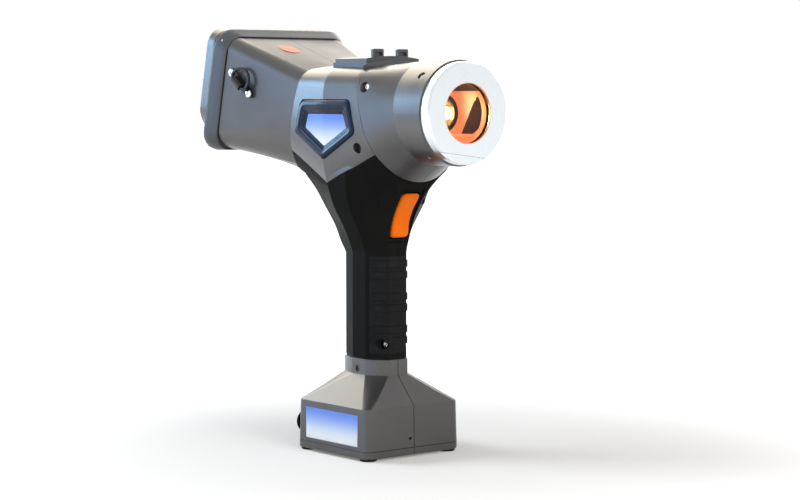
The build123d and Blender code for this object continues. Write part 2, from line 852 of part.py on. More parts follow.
def trigger_parts():
    frame = front_block(pocket_half_width, pocket_bottom, pocket_top, pocket_recess,
                        pocket_recess + pocket_thickness) & handle_outer
    frame -= box(0, large, -trigger_half_width - trigger_gap, trigger_half_width + trigger_gap,
                 trigger_bottom - trigger_gap, trigger_top + trigger_gap)
    save("trigger_frame", frame)

    blade = front_block(trigger_half_width, trigger_bottom, trigger_top, -trigger_proud, trigger_depth)
    blade += front_block(trigger_arm_half, trigger_pin_z - 3, trigger_pin_z + 3, 0, 14)
    blade += rod(trigger_boss_radius, (trigger_pin_x, -trigger_half_width, trigger_pin_z),
                 (trigger_pin_x, trigger_half_width, trigger_pin_z))
    front_of_switch = tray_x + tray_thickness + microswitch_depth
    blade += box(front_of_switch + 2.3, 27, -trigger_arm_half, trigger_arm_half, 184, 189)
    blade -= rod(trigger_pin_radius + pin_gap, (trigger_pin_x, -20, trigger_pin_z),
                 (trigger_pin_x, 20, trigger_pin_z))
    save("trigger", blade)
    save("trigger_pin",
         rod(trigger_pin_radius, (trigger_pin_x, -trigger_pin_reach, trigger_pin_z),
             (trigger_pin_x, trigger_pin_reach, trigger_pin_z)))

    tray = box(tray_x, tray_x + tray_thickness, -large, large, tray_bottom, tray_top) & handle_inner
    start = tray_x + tray_thickness
    tray += rod(spring_radius - spring_wire - 0.4, (start, 0, spring_z), (start + 5, 0, spring_z))
    save("trigger_bracket", tray)
    save("trigger_switch", box(start, front_of_switch, -8, 8, 181, 191.5))
    run = spring_seat_x - start - 2 * spring_wire
    path = Pos(start + spring_wire, 0, spring_z) * Rot(0, 90, 0) * Helix(run / spring_turns, run,
            spring_radius)
    section = Plane(origin=path @ 0, z_dir=path % 0) * Circle(spring_wire)
    save("trigger_spring", sweep(section, path=path, is_frenet=True))


# Nose

def nose_parts():
    form = barrel_form(0, 0)
    barrel = form - barrel_form(wall, 8)
    barrel = barrel & prism([(seam_at(0) + seam_gap, 0), (large, 0), (large, large),
                             (seam_at(large) + seam_gap, large)], large)
    for side in (-1, 1):
        barrel = add_side_boss(barrel, form, barrel_screw_x, barrel_screw_seat, barrel_screw_z, side)
    ring_screws = []
    ring_holes = []
    for side in (-1, 1):
        for angle in ring_screw_angles:
            a = math.radians(angle)
            direction = Vector(0, side * math.cos(a), math.sin(a))
            axis_point = Vector(ring_screw_x, 0, head_axis_z)
            seat = axis_point + direction * ring_screw_seat
            inner = seat - direction * (ring_spigot_wall - 0.6)
            top = seat + direction * 8
            barrel -= rod(ring_screw_recess, seat, top)
            ring_holes.append(rod(ring_screw_head_radius + slip_gap, seat, top))
            ring_holes.append(rod(ring_screw_radius, inner - direction, seat))
            head = rod(ring_screw_head_radius, seat, seat + direction * 1.8)
            shank = rod(ring_screw_radius, inner, seat)
            ring_screws.append(head + shank - rod(1.3, seat + direction * 0.8, seat + direction * 3))
    save("nose_barrel", barrel)
    save("ring_screws", *ring_screws)

    def turned(*points):
        """Solid turned about the nose axis from points of x and radius."""
        face = make_face(Polyline(*[(x, 0, head_axis_z + r) for x, r in points], close=True))
        return revolve(face, Axis((0, 0, head_axis_z), (1, 0, 0)))

    seat_x = ring_front_x - window_lip
    spigot = barrel_radius - wall - slip_gap
    ring = turned((ring_rear_x - ring_spigot_length, spigot - ring_spigot_wall),
                  (ring_rear_x - ring_spigot_length, spigot),
                  (ring_rear_x, spigot), (ring_rear_x, ring_radius), (ring_front_x - ring_chamfer,
                          ring_radius),
                  (ring_front_x, ring_radius - ring_chamfer), (ring_front_x, window_radius), (seat_x,
                          window_radius),
                  (seat_x, window_seat_radius), (ring_rear_x, window_seat_radius), (ring_rear_x,
                          spigot - ring_spigot_wall))
    flat = Pos(0, 0, head_axis_z) * Rot(-ring_roll, 0, 0) * box(ring_front_x - ring_flat_depth, large,
            -large, large, -large, -ring_flat)
    ring -= flat
    for hole in ring_holes:
        ring -= hole
    save("nose_ring", ring)
    pane_x = seat_x - window_thickness
    save("window_pane",
         rod(window_seat_radius - slip_gap, (pane_x, 0, head_axis_z), (seat_x, 0, head_axis_z)))
    gasket_x = pane_x - gasket_thickness
    save("window_gasket", turned((gasket_x, window_radius), (pane_x, window_radius),
                                 (pane_x, window_seat_radius - slip_gap), (gasket_x,
                                         window_seat_radius - slip_gap)))

    lip = window_seat_radius - slip_gap
    liner = turned((chamber_rear_x, 0.01), (chamber_rear_x, chamber_radius + chamber_wall),
                   (ring_rear_x - chamber_wall, chamber_radius + chamber_wall),
                   (ring_rear_x - chamber_wall, spigot - ring_spigot_wall - slip_gap), (ring_rear_x,
                           spigot - ring_spigot_wall - slip_gap),
                   (ring_rear_x, lip), (gasket_x, lip), (gasket_x,
                                                         window_radius), (ring_rear_x - chamber_wall,
                                                                 window_radius),
                   (ring_rear_x - chamber_wall, chamber_radius), (chamber_rear_x + chamber_wall,
                           chamber_radius), (chamber_rear_x + chamber_wall, 0.01))
    floor = box(chamber_rear_x + chamber_wall / 2, ring_rear_x - chamber_wall, -large, large,
                chamber_floor - chamber_wall, chamber_floor)
    floor = floor & rod(chamber_radius + 0.2, (chamber_rear_x, 0, head_axis_z),
                        (ring_rear_x, 0, head_axis_z))
    liner += floor
    stem = lamp_rim_x - lamp_depth
    liner -= rod(5.0, (chamber_rear_x - 1, 0, head_axis_z), (stem + 1, 0, head_axis_z))
    liner -= rod(lens_tube_radius + slip_gap, (chamber_rear_x - 1, 0, lens_z),
                 (chamber_rear_x + 5, 0, lens_z))
    liner -= rod(flag_shaft_radius + 0.6, (chamber_rear_x - 1, flag_pivot_y, flag_pivot_z),
                 (chamber_rear_x + 5, flag_pivot_y, flag_pivot_z))
    save("chamber_liner", liner)

    inner = lamp_rim_radius - lamp_holder_wall
    holder = turned((stem - 3.4, 5.0 - slip_gap), (stem, 5.0 - slip_gap), (stem, lamp_rim_radius),
                    (lamp_rim_x, lamp_rim_radius),
                    (lamp_rim_x, inner), (stem + 1.6, inner), (stem + 1.6, 2.2), (stem - 3.4, 2.2))
    save("lamp_holder", holder)
    bowl_face = make_face([Line((stem + 1.6, 0, head_axis_z + 3.4), (stem + 2.6, 0, head_axis_z + 3.4)),
                           ThreePointArc((stem + 2.6, 0, head_axis_z + 3.4),
                                         (stem + 7, 0, head_axis_z + 10.6), (lamp_rim_x - 0.6, 0,
                                                 head_axis_z + inner - 1.2)),
                           Line((lamp_rim_x - 0.6, 0, head_axis_z + inner - 1.2),
                                (lamp_rim_x - 0.6, 0, head_axis_z + inner - slip_gap)),
                           Line((lamp_rim_x - 0.6, 0, head_axis_z + inner - slip_gap),
                                (stem + 12, 0, head_axis_z + inner - slip_gap)),
                           ThreePointArc((stem + 12, 0, head_axis_z + inner - slip_gap),
                                         (stem + 5, 0, head_axis_z + 11.4), (stem + 1.6, 0,
                                                 head_axis_z + 6)),
                           Line((stem + 1.6, 0, head_axis_z + 6), (stem + 1.6, 0, head_axis_z + 3.4))])
    save("lamp_reflector", revolve(bowl_face, Axis((0, 0, head_axis_z), (1, 0, 0))))
    bulb = rod(2.0, (stem - 3.4, 0, head_axis_z), (stem + 2.6, 0, head_axis_z)) + rod(bulb_radius,
            (stem + 2.6, 0, head_axis_z), (stem + bulb_length, 0, head_axis_z))
    bulb += Pos(stem + bulb_length, 0, head_axis_z) * Sphere(bulb_radius)
    save("lamp_bulb", bulb)

    lens_end = chamber_rear_x + lens_tube_length
    tube = rod(lens_tube_radius, (spectrometer_front_x, 0, lens_z), (lens_end, 0, lens_z))
    tube -= rod(lens_radius, (lens_end - 3, 0, lens_z), (lens_end + 1, 0, lens_z)) + rod(lens_radius - 0.8,
            (spectrometer_front_x - 1, 0, lens_z), (lens_end, 0, lens_z))
    save("lens_tube", tube)
    save("collecting_lens", rod(lens_radius, (lens_end - 3, 0, lens_z), (lens_end - 0.8, 0, lens_z)))

    flag_x = lens_end + 1.0
    reach = math.hypot(flag_pivot_y, lens_z - flag_pivot_z)
    a = math.atan2(lens_z - flag_pivot_z, -flag_pivot_y) - math.radians(flag_swing)
    tip = (flag_pivot_y + reach * math.cos(a), flag_pivot_z + reach * math.sin(a))
    paddle = rod(flag_radius, (flag_x, *tip), (flag_x + flag_thickness, *tip))
    arm_plane = Plane(origin=(flag_x, (flag_pivot_y + tip[0]) / 2, (flag_pivot_z + tip[1]) / 2),
                      x_dir=(0, math.cos(a), math.sin(a)), z_dir=(1, 0, 0))
    paddle += extrude(arm_plane * Rectangle(reach, 3.2), amount=flag_thickness)
    paddle += rod(2.6, (flag_x, flag_pivot_y, flag_pivot_z), (flag_x + 3, flag_pivot_y, flag_pivot_z))
    motor_x = chamber_rear_x - flag_motor_length
    paddle += rod(flag_shaft_radius, (motor_x + flag_motor_length - 4, flag_pivot_y, flag_pivot_z),
                  (flag_x + 1, flag_pivot_y, flag_pivot_z))
    save("reference_flag", paddle)
    motor = rod(flag_motor_radius, (motor_x, flag_pivot_y, flag_pivot_z),
                (motor_x + flag_motor_length, flag_pivot_y, flag_pivot_z))
    motor -= rod(flag_shaft_radius + pin_gap,
                 (motor_x + flag_motor_length - 4.4, flag_pivot_y, flag_pivot_z), (motor_x + large / 8,
                         flag_pivot_y, flag_pivot_z))
    save("flag_motor", motor)
    baffle = prism([(86, chamber_floor), (ring_rear_x - chamber_wall, chamber_floor),
                    (ring_rear_x - chamber_wall, 288), (101, 297), (98, 297)], baffle_thickness / 2)
    save("chamber_baffle", Pos(0, baffle_y, 0) * baffle)


def head_inner_parts():
    """Tray across the yoke and the spectrometer that it carries."""
    tray = box(-40, 25, -large, large, tray_z, tray_z + tray_thickness) & head_form(wall, 0)
    tray -= badge_outline(2, -60, -40) - head_form(badge_floor + 1.4, 12)
    save("head_tray", tray)
    x1 = spectrometer_front_x
    x0 = x1 - spectrometer_length
    z0 = tray_z + tray_thickness
    half = spectrometer_width / 2
    case = box(x0, x1, -half, half, z0, z0 + spectrometer_height)
    case = fillet(case.edges().filter_by(Axis.Z), 3)
    w = spectrometer_wall
    case -= box(x0 + w, x1 - w, w - half, half - w, z0 + w, z0 + spectrometer_height - w)
    save("spectrometer", case)


# Housing and rear unit

lean = math.radians(tilt)
outward = Vector(-math.cos(lean), 0, math.sin(lean))


def rear_plane(depth):
    """Plane parallel to the display, depth behind the flange's front, with x to +Y and y upwards."""
    origin = Vector(rear_unit_x, 0, rear_unit_z) + outward * depth
    return Plane(origin=origin, x_dir=Vector(0, -1, 0), z_dir=outward)


def panel(half_width, bottom, top, low_radius, high_radius):
    """Upright rounded rectangle with different lower and upper corners."""
    k = math.sqrt(0.5)
    a, b = half_width, low_radius
    c = high_radius
    edges = [
        Line((a - b, bottom), (b - a, bottom)),
        ThreePointArc((b - a, bottom), (b - a - b * k, bottom + b - b * k), (-a, bottom + b)),
        Line((-a, bottom + b), (-a, top - c)),
        ThreePointArc((-a, top - c), (c - a - c * k, top - c + c * k), (c - a, top)),
        Line((c - a, top), (a - c, top)),
        ThreePointArc((a - c, top), (a - c + c * k, top - c + c * k), (a, top - c)),
        Line((a, top - c), (a, bottom + b)),
        ThreePointArc((a, bottom + b), (a - b + b * k, bottom + b - b * k), (a - b, bottom)),
    ]
    return make_face(edges)


def slab(depth, thickness, *sizes):
    """Rounded panel made solid from depth outwards."""
    return extrude(rear_plane(depth) * panel(*sizes), amount=thickness, dir=outward)


def housing_form(inset, front_reach, rear_reach):
    """Tapered housing between the yoke's rear opening and the rear flange."""
    front = rear_arch(wall + housing_gap + inset)
    rear = rear_plane(0) * panel(housing_half_width - inset, housing_bottom + inset, housing_top - inset,
                                 housing_bottom_radius - inset * 0.6, housing_top_radius - inset * 0.6)
    form = loft([front, rear], ruled=True) + extrude(front, amount=front_reach, dir=(1, 0, 0))
    if rear_reach > 0:
        form += extrude(rear, amount=rear_reach, dir=outward)
    return form


def lug_plane():
    """Plane on the right side of the housing, with its x along the lug."""
    rise = (lug_x - rear_x) / (rear_unit_x - rear_x)
    mouth_half = rear_half_width - wall - housing_gap
    y = -(mouth_half + (housing_half_width - mouth_half) * rise)
    taper = math.atan((housing_half_width - mouth_half) / (rear_x - rear_unit_x))
    slope = math.radians(lug_slope)
    along = Vector(math.cos(slope) * math.cos(taper), math.cos(slope) * math.sin(taper), math.sin(slope))
    normal = Vector(math.sin(taper), -math.cos(taper), 0)
    return Plane(origin=Vector(lug_x, y, lug_z) + normal * lug_pad, x_dir=along, z_dir=normal)


def lug_parts():
    """Right strap lug, its screws and the ring through its tube."""
    plane = lug_plane()
    half = lug_half_pitch
    plate = extrude(plane * SlotCenterToCenter(2 * half, lug_plate_width), amount=lug_plate_thickness)
    tube_start = plane.from_local_coords(Vector(-lug_tube_length / 2, 0, lug_axis_height))
    tube_plane = Plane(origin=tube_start, z_dir=plane.x_dir)
    tube = extrude(tube_plane * Circle(lug_tube_radius), amount=lug_tube_length)
    block = extrude(plane * Rectangle(lug_tube_length, 2 * lug_tube_radius - 0.8), amount=lug_axis_height)
    lug = plate + tube + block
    lug -= extrude(tube_plane * Circle(strap_wire_radius + pin_gap), amount=lug_tube_length)
    screws = []
    for end in (-half, half):
        place = plane * Pos(end, 0, lug_plate_thickness)
        head = extrude(place * Circle(lug_screw_head_radius), amount=lug_screw_head, taper=20)
        shank = extrude(place * Circle(1.4), amount=-(lug_plate_thickness + lug_pad + wall))
        lug -= extrude(place * Circle(1.4), amount=-(lug_plate_thickness + 1))
        socket = extrude(place * Pos(0, 0, 0.9) * RegularPolygon(1.3, 6), amount=4)
        screws.append(head + shank - socket)
    centre = plane.from_local_coords(Vector(0, 0, lug_axis_height))
    lean_out = math.radians(strap_lean)
    rise = plane.y_dir * math.cos(lean_out) + plane.z_dir * math.sin(lean_out)
    ring_plane = Plane(origin=centre, x_dir=plane.x_dir, z_dir=plane.x_dir.cross(rise))
    return lug, screws, strap_ring(ring_plane)


def strap_ring(plane):
    """D-shaped wire ring made of two halves that meet in the middle of its leg."""
    half, corner = strap_half_length, strap_corner
    k = corner * (1 - math.sqrt(0.5))
    bow = math.sqrt(0.5)
    halves = []
    for side in (-1, 1):
        path = plane * Wire([
            Line((0, 0), (side * (half - corner), 0)),
            ThreePointArc((side * (half - corner), 0), (side * (half - k), k), (side * half, corner)),
            ThreePointArc((side * half, corner), (side * half * bow, corner + (strap_rise - corner) * bow),
                          (0, strap_rise)),
        ])
        section = Plane(origin=path @ 0, z_dir=path % 0) * Circle(strap_wire_radius)
        halves.append(sweep(section, path=path))
    return halves[0] + halves[1]


def housing_parts():
    shell = housing_form(0, housing_tuck, 0) - housing_form(wall, housing_tuck + 1, 1)
    lug, screws, ring = lug_parts()
    plane = lug_plane()
    pad = extrude(plane * SlotCenterToCenter(2 * lug_half_pitch, lug_plate_width),
                  amount=-(wall + lug_pad + 1.5))
    holes = extrude(plane * Pos(-lug_half_pitch, 0, 1) * Circle(1.4),
                    amount=-12) + extrude(plane * Pos(lug_half_pitch, 0, 1) * Circle(1.4), amount=-12)
    shell = shell + pad + mirrored(pad) - holes - mirrored(holes)
    shell -= oval_badge()
    save("housing_shell_right", right_half(shell))
    save("housing_shell_left", left_half(shell))
    save("oval_badge", oval_badge())
    save("strap_lugs", lug, mirrored(lug))
    save("strap_lug_screws", *screws, *[mirrored(screw) for screw in screws])
    save("strap_ring_right", ring)
    save("strap_ring_left", mirrored(ring))


def oval_badge():
    """Thin oval plate let into the top of the housing."""
    top = rear_top_z - wall - housing_gap
    front = Vector(rear_at(top), 0, top)
    rear = rear_plane(0).from_local_coords(Vector(0, housing_top, 0))
    share = (oval_x - front.X) / (rear.X - front.X)
    point = Vector(oval_x, oval_y, front.Z + (rear.Z - front.Z) * share)
    slope = (rear - front).normalized()
    normal = Vector(-slope.Z, 0, slope.X) if slope.X > 0 else Vector(slope.Z, 0, -slope.X)
    plate = Plane(origin=point - normal * (oval_thickness + 0.05), x_dir=(0, 1, 0), z_dir=normal)
    return extrude(plate * Ellipse(oval_half_width, oval_half_length), amount=oval_thickness)


def rear_unit_parts():
    flange = slab(0, flange_depth, flange_half_width, flange_bottom, flange_top, flange_radius,
                  flange_radius)
    front_first = flange.faces().sort_by(lambda f: (f.center() - rear_plane(0).origin).dot(outward))
    bevel_edges = front_first[0].edges()
    flange = chamfer(bevel_edges, flange_bevel)
    opening = (housing_half_width - wall, housing_bottom + wall, housing_top - wall,
               housing_bottom_radius - wall, housing_top_radius - wall)
    flange -= slab(-1, flange_depth + 2, *opening)
    back = slab(flange_depth - 2.4, 2.4, housing_half_width, flange_bottom + 3, cover_bottom + 6, 12, 1)
    flange += back
    save("rear_flange", flange)

    cover = slab(flange_depth, cover_depth, flange_half_width, cover_bottom, cover_top, cover_bottom_radius,
                 cover_top_radius)
    face = cover.faces().sort_by(lambda f: (f.center() - rear_plane(0).origin).dot(outward))[-1]
    cover = chamfer(face.edges(), cover_bevel)
    mid = display_centre
    gw, gh = display_half_width + glass_margin, display_half_height + glass_margin
    top = flange_depth + cover_depth
    glass = slab(top - glass_thickness, glass_thickness, gw, mid - gh, mid + gh, 4, 4)
    cover -= slab(top - glass_thickness, glass_thickness + 1, gw + slip_gap, mid - gh - slip_gap,
                  mid + gh + slip_gap, 4, 4)
    gasket_depth = top - glass_thickness - display_gasket
    cover -= slab(flange_depth - 1, cover_depth, display_half_width + 1.5, mid - display_half_height - 1.5,
                  mid + display_half_height + 1.5, 3, 3)
    gasket = slab(gasket_depth, display_gasket, display_half_width + 1.2, mid - display_half_height - 1.2,
                  mid + display_half_height + 1.2, 3, 3)
    gasket -= slab(gasket_depth - 1, display_gasket + 2, display_half_width - 1,
                   mid - display_half_height + 1, mid + display_half_height - 1, 2, 2)
    back = gasket_depth - display_thickness
    module = slab(back, display_thickness, display_half_width + 1.2, mid - display_half_height - 1.2,
                  mid + display_half_height + 1.2, 3, 3)
    board_at = back - board_spacing
    board = slab(board_at - board_thickness, board_thickness, 52, mid - 32, mid + 32, 3, 3)
    screws = []
    for sy in (-1, 1):
        for v in (cover_bottom + 18, cover_top - 9):
            place = rear_plane(top) * Pos(sy * cover_screw_half, v, 0)
            cover -= extrude(place * Circle(cover_screw_head_radius + slip_gap), amount=-3)
            cover -= extrude(place * Circle(cover_screw_radius), amount=-(cover_depth + 1))
            flange -= extrude(place * Circle(cover_screw_radius), amount=-(cover_depth + 8))
            head = extrude(place * Pos(0, 0, -3) * Circle(cover_screw_head_radius), amount=2)
            shank = extrude(place * Pos(0, 0, -3) * Circle(cover_screw_radius), amount=-(cover_depth + 4))
            screws.append(head + shank - extrude(place * Pos(0, 0, -2.1) * RegularPolygon(1.3, 6),
                                                 amount=3))
        for v in (mid - 28, mid + 28):
            post = rear_plane(board_at) * Pos(sy * 46, v, 0)
            board += extrude(post * Circle(2.4), amount=board_spacing)
    save("rear_flange", flange)
    save("rear_cover", cover)
    save("display_glass", glass)
    save("display_gasket", gasket)
    save("display_module", module)
    save("main_board", board)
    save("rear_cover_screws", *screws)
    v = (flange_bottom + cover_bottom) / 2
    port = extrude(rear_plane(flange_depth) * Pos(0, v, 0) * RectangleRounded(data_cover_width,
            data_cover_height, 2.5), amount=data_cover_thickness)
    save("socket_covers", port, socket_cover())


# Saddle plate and catches

def saddle_parts():
    """Two-level plate on top of the head, split along the middle, with two catches open to the front."""
    half = [(saddle_front_x, saddle_front_half), (saddle_knee_x, saddle_rear_half),
            (saddle_rear_x, saddle_rear_half)]
    points = half + [(x, -y) for x, y in reversed(half)]
    lower = extrude(Pos(0, 0, 300) * make_face(Polyline(*points, close=True)),
                    amount=60) & head_form(-saddle_thickness, 0)
    profile = make_face([
        ThreePointArc((upper_front_x, -upper_half, upper_side_z), (upper_front_x, 0, upper_crown_z),
                      (upper_front_x, upper_half, upper_side_z)),
        Line((upper_front_x, upper_half, upper_side_z), (upper_front_x, upper_half, 312)),
        Line((upper_front_x, upper_half, 312), (upper_front_x, -upper_half, 312)),
        Line((upper_front_x, -upper_half, 312), (upper_front_x, -upper_half, upper_side_z)),
    ])
    upper_plate = extrude(profile, amount=upper_front_x - saddle_rear_x - 1.2, dir=(-1, 0, 0))
    plate = lower + upper_plate - head_form(0, 12)
    loops = []
    for side in (-1, 1):
        y = side * loop_y
        hole_top = loop_top_z - loop_roof
        block = box(loop_x - loop_length / 2, loop_x + loop_length / 2, y - loop_width / 2,
                    y + loop_width / 2,
                    upper_crown_z - 0.8, loop_top_z)
        block = fillet(block.edges().filter_by(Axis.X).sort_by(Axis.Z)[-2:], 1.0)
        block -= box(loop_x + loop_back - loop_length / 2, loop_x + loop_length, y - loop_hole_width / 2,
                     y + loop_hole_width / 2, hole_top - loop_hole_height, hole_top)
        loops.append(block - plate)
    save("saddle_plate_right", right_half(plate))
    save("saddle_plate_left", left_half(plate))
    save("accessory_loops", *loops)


base_parts()
button_parts()
handle_and_yoke()
badge_parts()
grip_parts()
trigger_parts()
nose_parts()
head_inner_parts()
housing_parts()
rear_unit_parts()
saddle_parts()
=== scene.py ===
"""Looks of a pistol-shaped near-infrared analyzer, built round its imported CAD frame."""
import json
import math

import bmesh
import bpy
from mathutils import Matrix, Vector


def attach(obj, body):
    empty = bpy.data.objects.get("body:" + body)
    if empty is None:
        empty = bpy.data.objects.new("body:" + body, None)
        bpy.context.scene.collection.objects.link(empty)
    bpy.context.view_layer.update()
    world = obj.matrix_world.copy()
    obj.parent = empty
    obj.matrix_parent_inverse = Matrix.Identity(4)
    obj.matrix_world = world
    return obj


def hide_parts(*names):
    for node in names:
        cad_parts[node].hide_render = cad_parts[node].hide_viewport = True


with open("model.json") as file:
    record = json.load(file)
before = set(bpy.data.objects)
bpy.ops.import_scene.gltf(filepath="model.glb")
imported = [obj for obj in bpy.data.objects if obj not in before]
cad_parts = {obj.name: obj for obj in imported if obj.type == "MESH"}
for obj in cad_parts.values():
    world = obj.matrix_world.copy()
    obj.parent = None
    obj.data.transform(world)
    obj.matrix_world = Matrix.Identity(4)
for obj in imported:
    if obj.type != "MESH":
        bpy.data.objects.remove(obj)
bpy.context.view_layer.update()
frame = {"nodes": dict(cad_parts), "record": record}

nodes = frame["nodes"]
slot_of = {part["node"]: part["material_slot"] for part in frame["record"]["subparts"]}
mm = 0.001

# Places in the CAD frame that finishes and pieces share, in metres

nose_axis_z = 0.2835
ring_flat_height = 0.0335
ring_flat_roll = math.radians(7)
ring_flat_line = 0.00028
ring_front_x = 0.112
# Centre of the glow painted on the chamber lining, and the height above which its top gets painted
# shade
brightest_spot = (0.092, 0.026, 0.287)
chamber_shaded_top_z = 0.3005
bulb_tip_x = 0.0785
panel_point = Vector((-0.1358, 0, 0.300))
panel_tilt = math.radians(12.2)
panel_out = Vector((-math.cos(panel_tilt), 0, math.sin(panel_tilt)))
panel_up = Vector((math.sin(panel_tilt), 0, math.cos(panel_tilt)))
screen_half_width = 0.052
screen_half_height = 0.0305
screen_middle = 0.008
# The base plate's join, half the gap between shell halves, and how wide the painted seam shade
# spreads
base_seam_z = 0.008
seam_half_gap = 0.00015
seam_shade = 0.0005

# The same in millimetres, for the pieces built from points

nose_axis = nose_axis_z * 1000
panel_middle = panel_point * 1000


# Node trees written as Python expressions

class Value:
    """A node's output, on which Python's operators add Math nodes."""

    def __init__(self, tree, socket):
        self.tree = tree
        self.socket = socket

    def math(self, operation, *others):
        """A Math node on this output and others."""
        return self.tree.node("ShaderNodeMath", {"operation": operation},
                              dict(enumerate((self,) + others)))

    def __add__(self, other):
        return self.math("ADD", other)

    def __sub__(self, other):
        return self.math("SUBTRACT", other)

    def __rsub__(self, other):
        return self.tree.node("ShaderNodeMath", {"operation": "SUBTRACT"}, {0: other, 1: self})

    def __mul__(self, other):
        return self.math("MULTIPLY", other)

    def __truediv__(self, other):
        return self.math("DIVIDE", other)

    def __lt__(self, other):
        return self.math("LESS_THAN", other)

    def __gt__(self, other):
        return self.math("GREATER_THAN", other)

    def __abs__(self):
        return self.math("ABSOLUTE")

    __radd__ = __add__
    __rmul__ = __mul__


class Tree:
    """A node tree whose nodes all come from one method."""

    def __init__(self, tree):
        self.tree = tree

    def node(self, kind, settings=None, sockets=None, out=0):
        """A new node with its settings and inputs; the result is the named or numbered output."""
        made = self.tree.nodes.new(kind)
        for key, value in (settings or {}).items():
            if key == "stops":
                ramp = made.color_ramp
                while len(ramp.elements) < len(value):
                    ramp.elements.new(0.5)
                for element, (position, colour) in zip(ramp.elements, value):
                    element.position = position
                    element.color = (*colour, 1)
            else:
                setattr(made, key, value)
        for key, value in (sockets or {}).items():
            self.feed(made.inputs[key], value)
        return Value(self, made.outputs[out]) if made.outputs else made

    def feed(self, socket, value):
        """Links an output to an input, or sets a plain value; a list holds several links."""
        for one in value if isinstance(value, list) else [value]:
            if isinstance(one, Value):
                self.tree.links.new(one.socket, socket)
            elif socket.type == "RGBA" and len(one) == 3:
                socket.default_value = (*one, 1)
            else:
                socket.default_value = one


class Finish(Tree):
    """A material: one shader, and the nodes that vary it over the surface."""

    def __init__(self, name, colour, **fixed):
        self.material = bpy.data.materials.new(name)
        self.material.use_nodes = True
        super().__init__(self.material.node_tree)
        self.shader = self.tree.nodes["Principled BSDF"]
        self.place = self.node("ShaderNodeTexCoord", out="Object")
        self.set("Base Color", colour)
        for socket, value in fixed.items():
            self.set(socket.replace("_", " ").title().replace("Ior", "IOR"), value)

    def set(self, socket, value):
        """Feeds one of the shader's inputs."""
        self.feed(self.shader.inputs[socket], value)

    def grain(self, size, detail=2.0, stretch=(1, 1, 1)):
        """Noise whose grain has the given size in metres."""
        moved = self.node("ShaderNodeMapping", sockets={"Vector": self.place, "Scale": stretch})
        return self.node("ShaderNodeTexNoise",
                         sockets={"Vector": moved, "Scale": 1 / size, "Detail": detail})

    def mixed(self, share, first, second):
        """Colour between two others."""
        return self.node("ShaderNodeMix", {"data_type": "RGBA"}, {0: share, 6: first, 7: second},
                         out=2)

    def axis(self, name):
        """Position along X, Y or Z."""
        return self.node("ShaderNodeSeparateXYZ", sockets={0: self.place}, out=name)

    def vector(self, operation, second, out=1, first=None):
        """Vector Math of the position, or of another vector, with a second one."""
        return self.node("ShaderNodeVectorMath", {"operation": operation},
                         {0: first or self.place, 1: tuple(second)}, out=out)

    def along(self, point, direction):
        """Distance from a point along a direction."""
        shifted = self.vector("SUBTRACT", point, out=0)
        return self.vector("DOT_PRODUCT", direction, first=shifted)

    def smooth_step(self, value, low, high):
        """0 below one value and 1 above the other, with a soft change between them."""
        return self.node("ShaderNodeMapRange", {"interpolation_type": "SMOOTHSTEP"},
                         {"Value": value, "From Min": low, "From Max": high})

    def relief(self, height, distance, edge=0.0):
        """Bump in metres, over edges that look rounded by the given radius."""
        sockets = {"Height": height, "Distance": distance, "Strength": 1.0}
        if edge:
            sockets["Normal"] = self.node("ShaderNodeBevel", {"samples": 4}, {"Radius": edge})
        self.set("Normal", self.node("ShaderNodeBump", sockets=sockets))


def scaled(colour, share, more=0.0):
    """A colour multiplied by a share, with a little added."""
    return tuple(share * c + more for c in colour)


# Finishes. Grain, depth and edge are sizes in metres, and spread is how far roughness varies.

def moulded(name, colour, second, roughness, spread, grain, depth, edge, shaded_seams=False, **fixed):
    """Painted or moulded plastic: fine grain, faint handling marks and soft edges, and on request
    painted shade, with a little dirt, darkening the joins between shell halves and at the base
    plate.
    """
    finish = Finish(name, colour, **fixed)
    marks = finish.grain(0.034, 3.0)
    fine = finish.grain(grain, 1.0)
    tone = finish.mixed(finish.smooth_step(marks, 0.35, 0.7), colour, second)
    # Painted shade, with a little dirt: thin near-black lines along the middle seam and the base
    # plate's join
    if shaded_seams:
        from_middle = abs(finish.axis("Y"))
        from_plate = abs(finish.axis("Z") - base_seam_z)
        middle, plate = (1 - finish.smooth_step(distance, seam_half_gap, seam_shade)
                         for distance in (from_middle, from_plate))
        tone = finish.mixed(middle.math("MAXIMUM", plate) * 0.85, tone, (0.004, 0.004, 0.005))
    finish.set("Base Color", tone)
    finish.set("Roughness",
               finish.smooth_step(marks, 0.3, 0.75) * spread + (roughness + 0.05 * fine))
    finish.relief(fine, depth, edge)
    return finish.material


def turned_metal(name, colour, roughness, ring=0.00045):
    """Metal turned about the nose's axis: fine rings, and painted shade, with some edge wear, in a
    line along the step where the ring's flat starts.
    """
    finish = Finish(name, colour, metallic=1.0)
    y = finish.axis("Y")
    z = finish.axis("Z") - nose_axis_z
    radius = (y * y + z * z).math("SQRT")
    rings = finish.node("ShaderNodeTexNoise", {"noise_dimensions": "1D"},
                        {"W": radius / ring, "Scale": 1.0})
    smear = finish.grain(0.02)
    flat = y * -math.sin(ring_flat_roll) - z * math.cos(ring_flat_roll)
    # Painted shade, with some edge wear: a darker line along the step at the ring's flat
    step_shade_line = ((abs(flat - ring_flat_height) < ring_flat_line)
                 * (finish.axis("X") > ring_front_x))
    finish.set("Roughness", roughness + 0.1 * rings + 0.08 * smear)
    plain = finish.mixed(smear, colour, scaled(colour, 0.94))
    finish.set("Base Color", finish.mixed(step_shade_line, plain, scaled(colour, 0.72)))
    finish.relief(rings, 0.00001, 0.0003)
    return finish.material


def machined_metal(name, colour, roughness, stretch=(1, 1, 1)):
    """Milled, rolled or blasted metal, whose marks can be drawn out along one direction."""
    finish = Finish(name, colour, metallic=1.0)
    marks = finish.grain(0.004, 3.0, stretch)
    cloud = finish.grain(0.012)
    finish.set("Base Color", finish.mixed(cloud, colour, scaled(colour, 0.82)))
    finish.set("Roughness", roughness + 0.14 * marks)
    finish.relief(marks, 0.000015, 0.0002)
    return finish.material


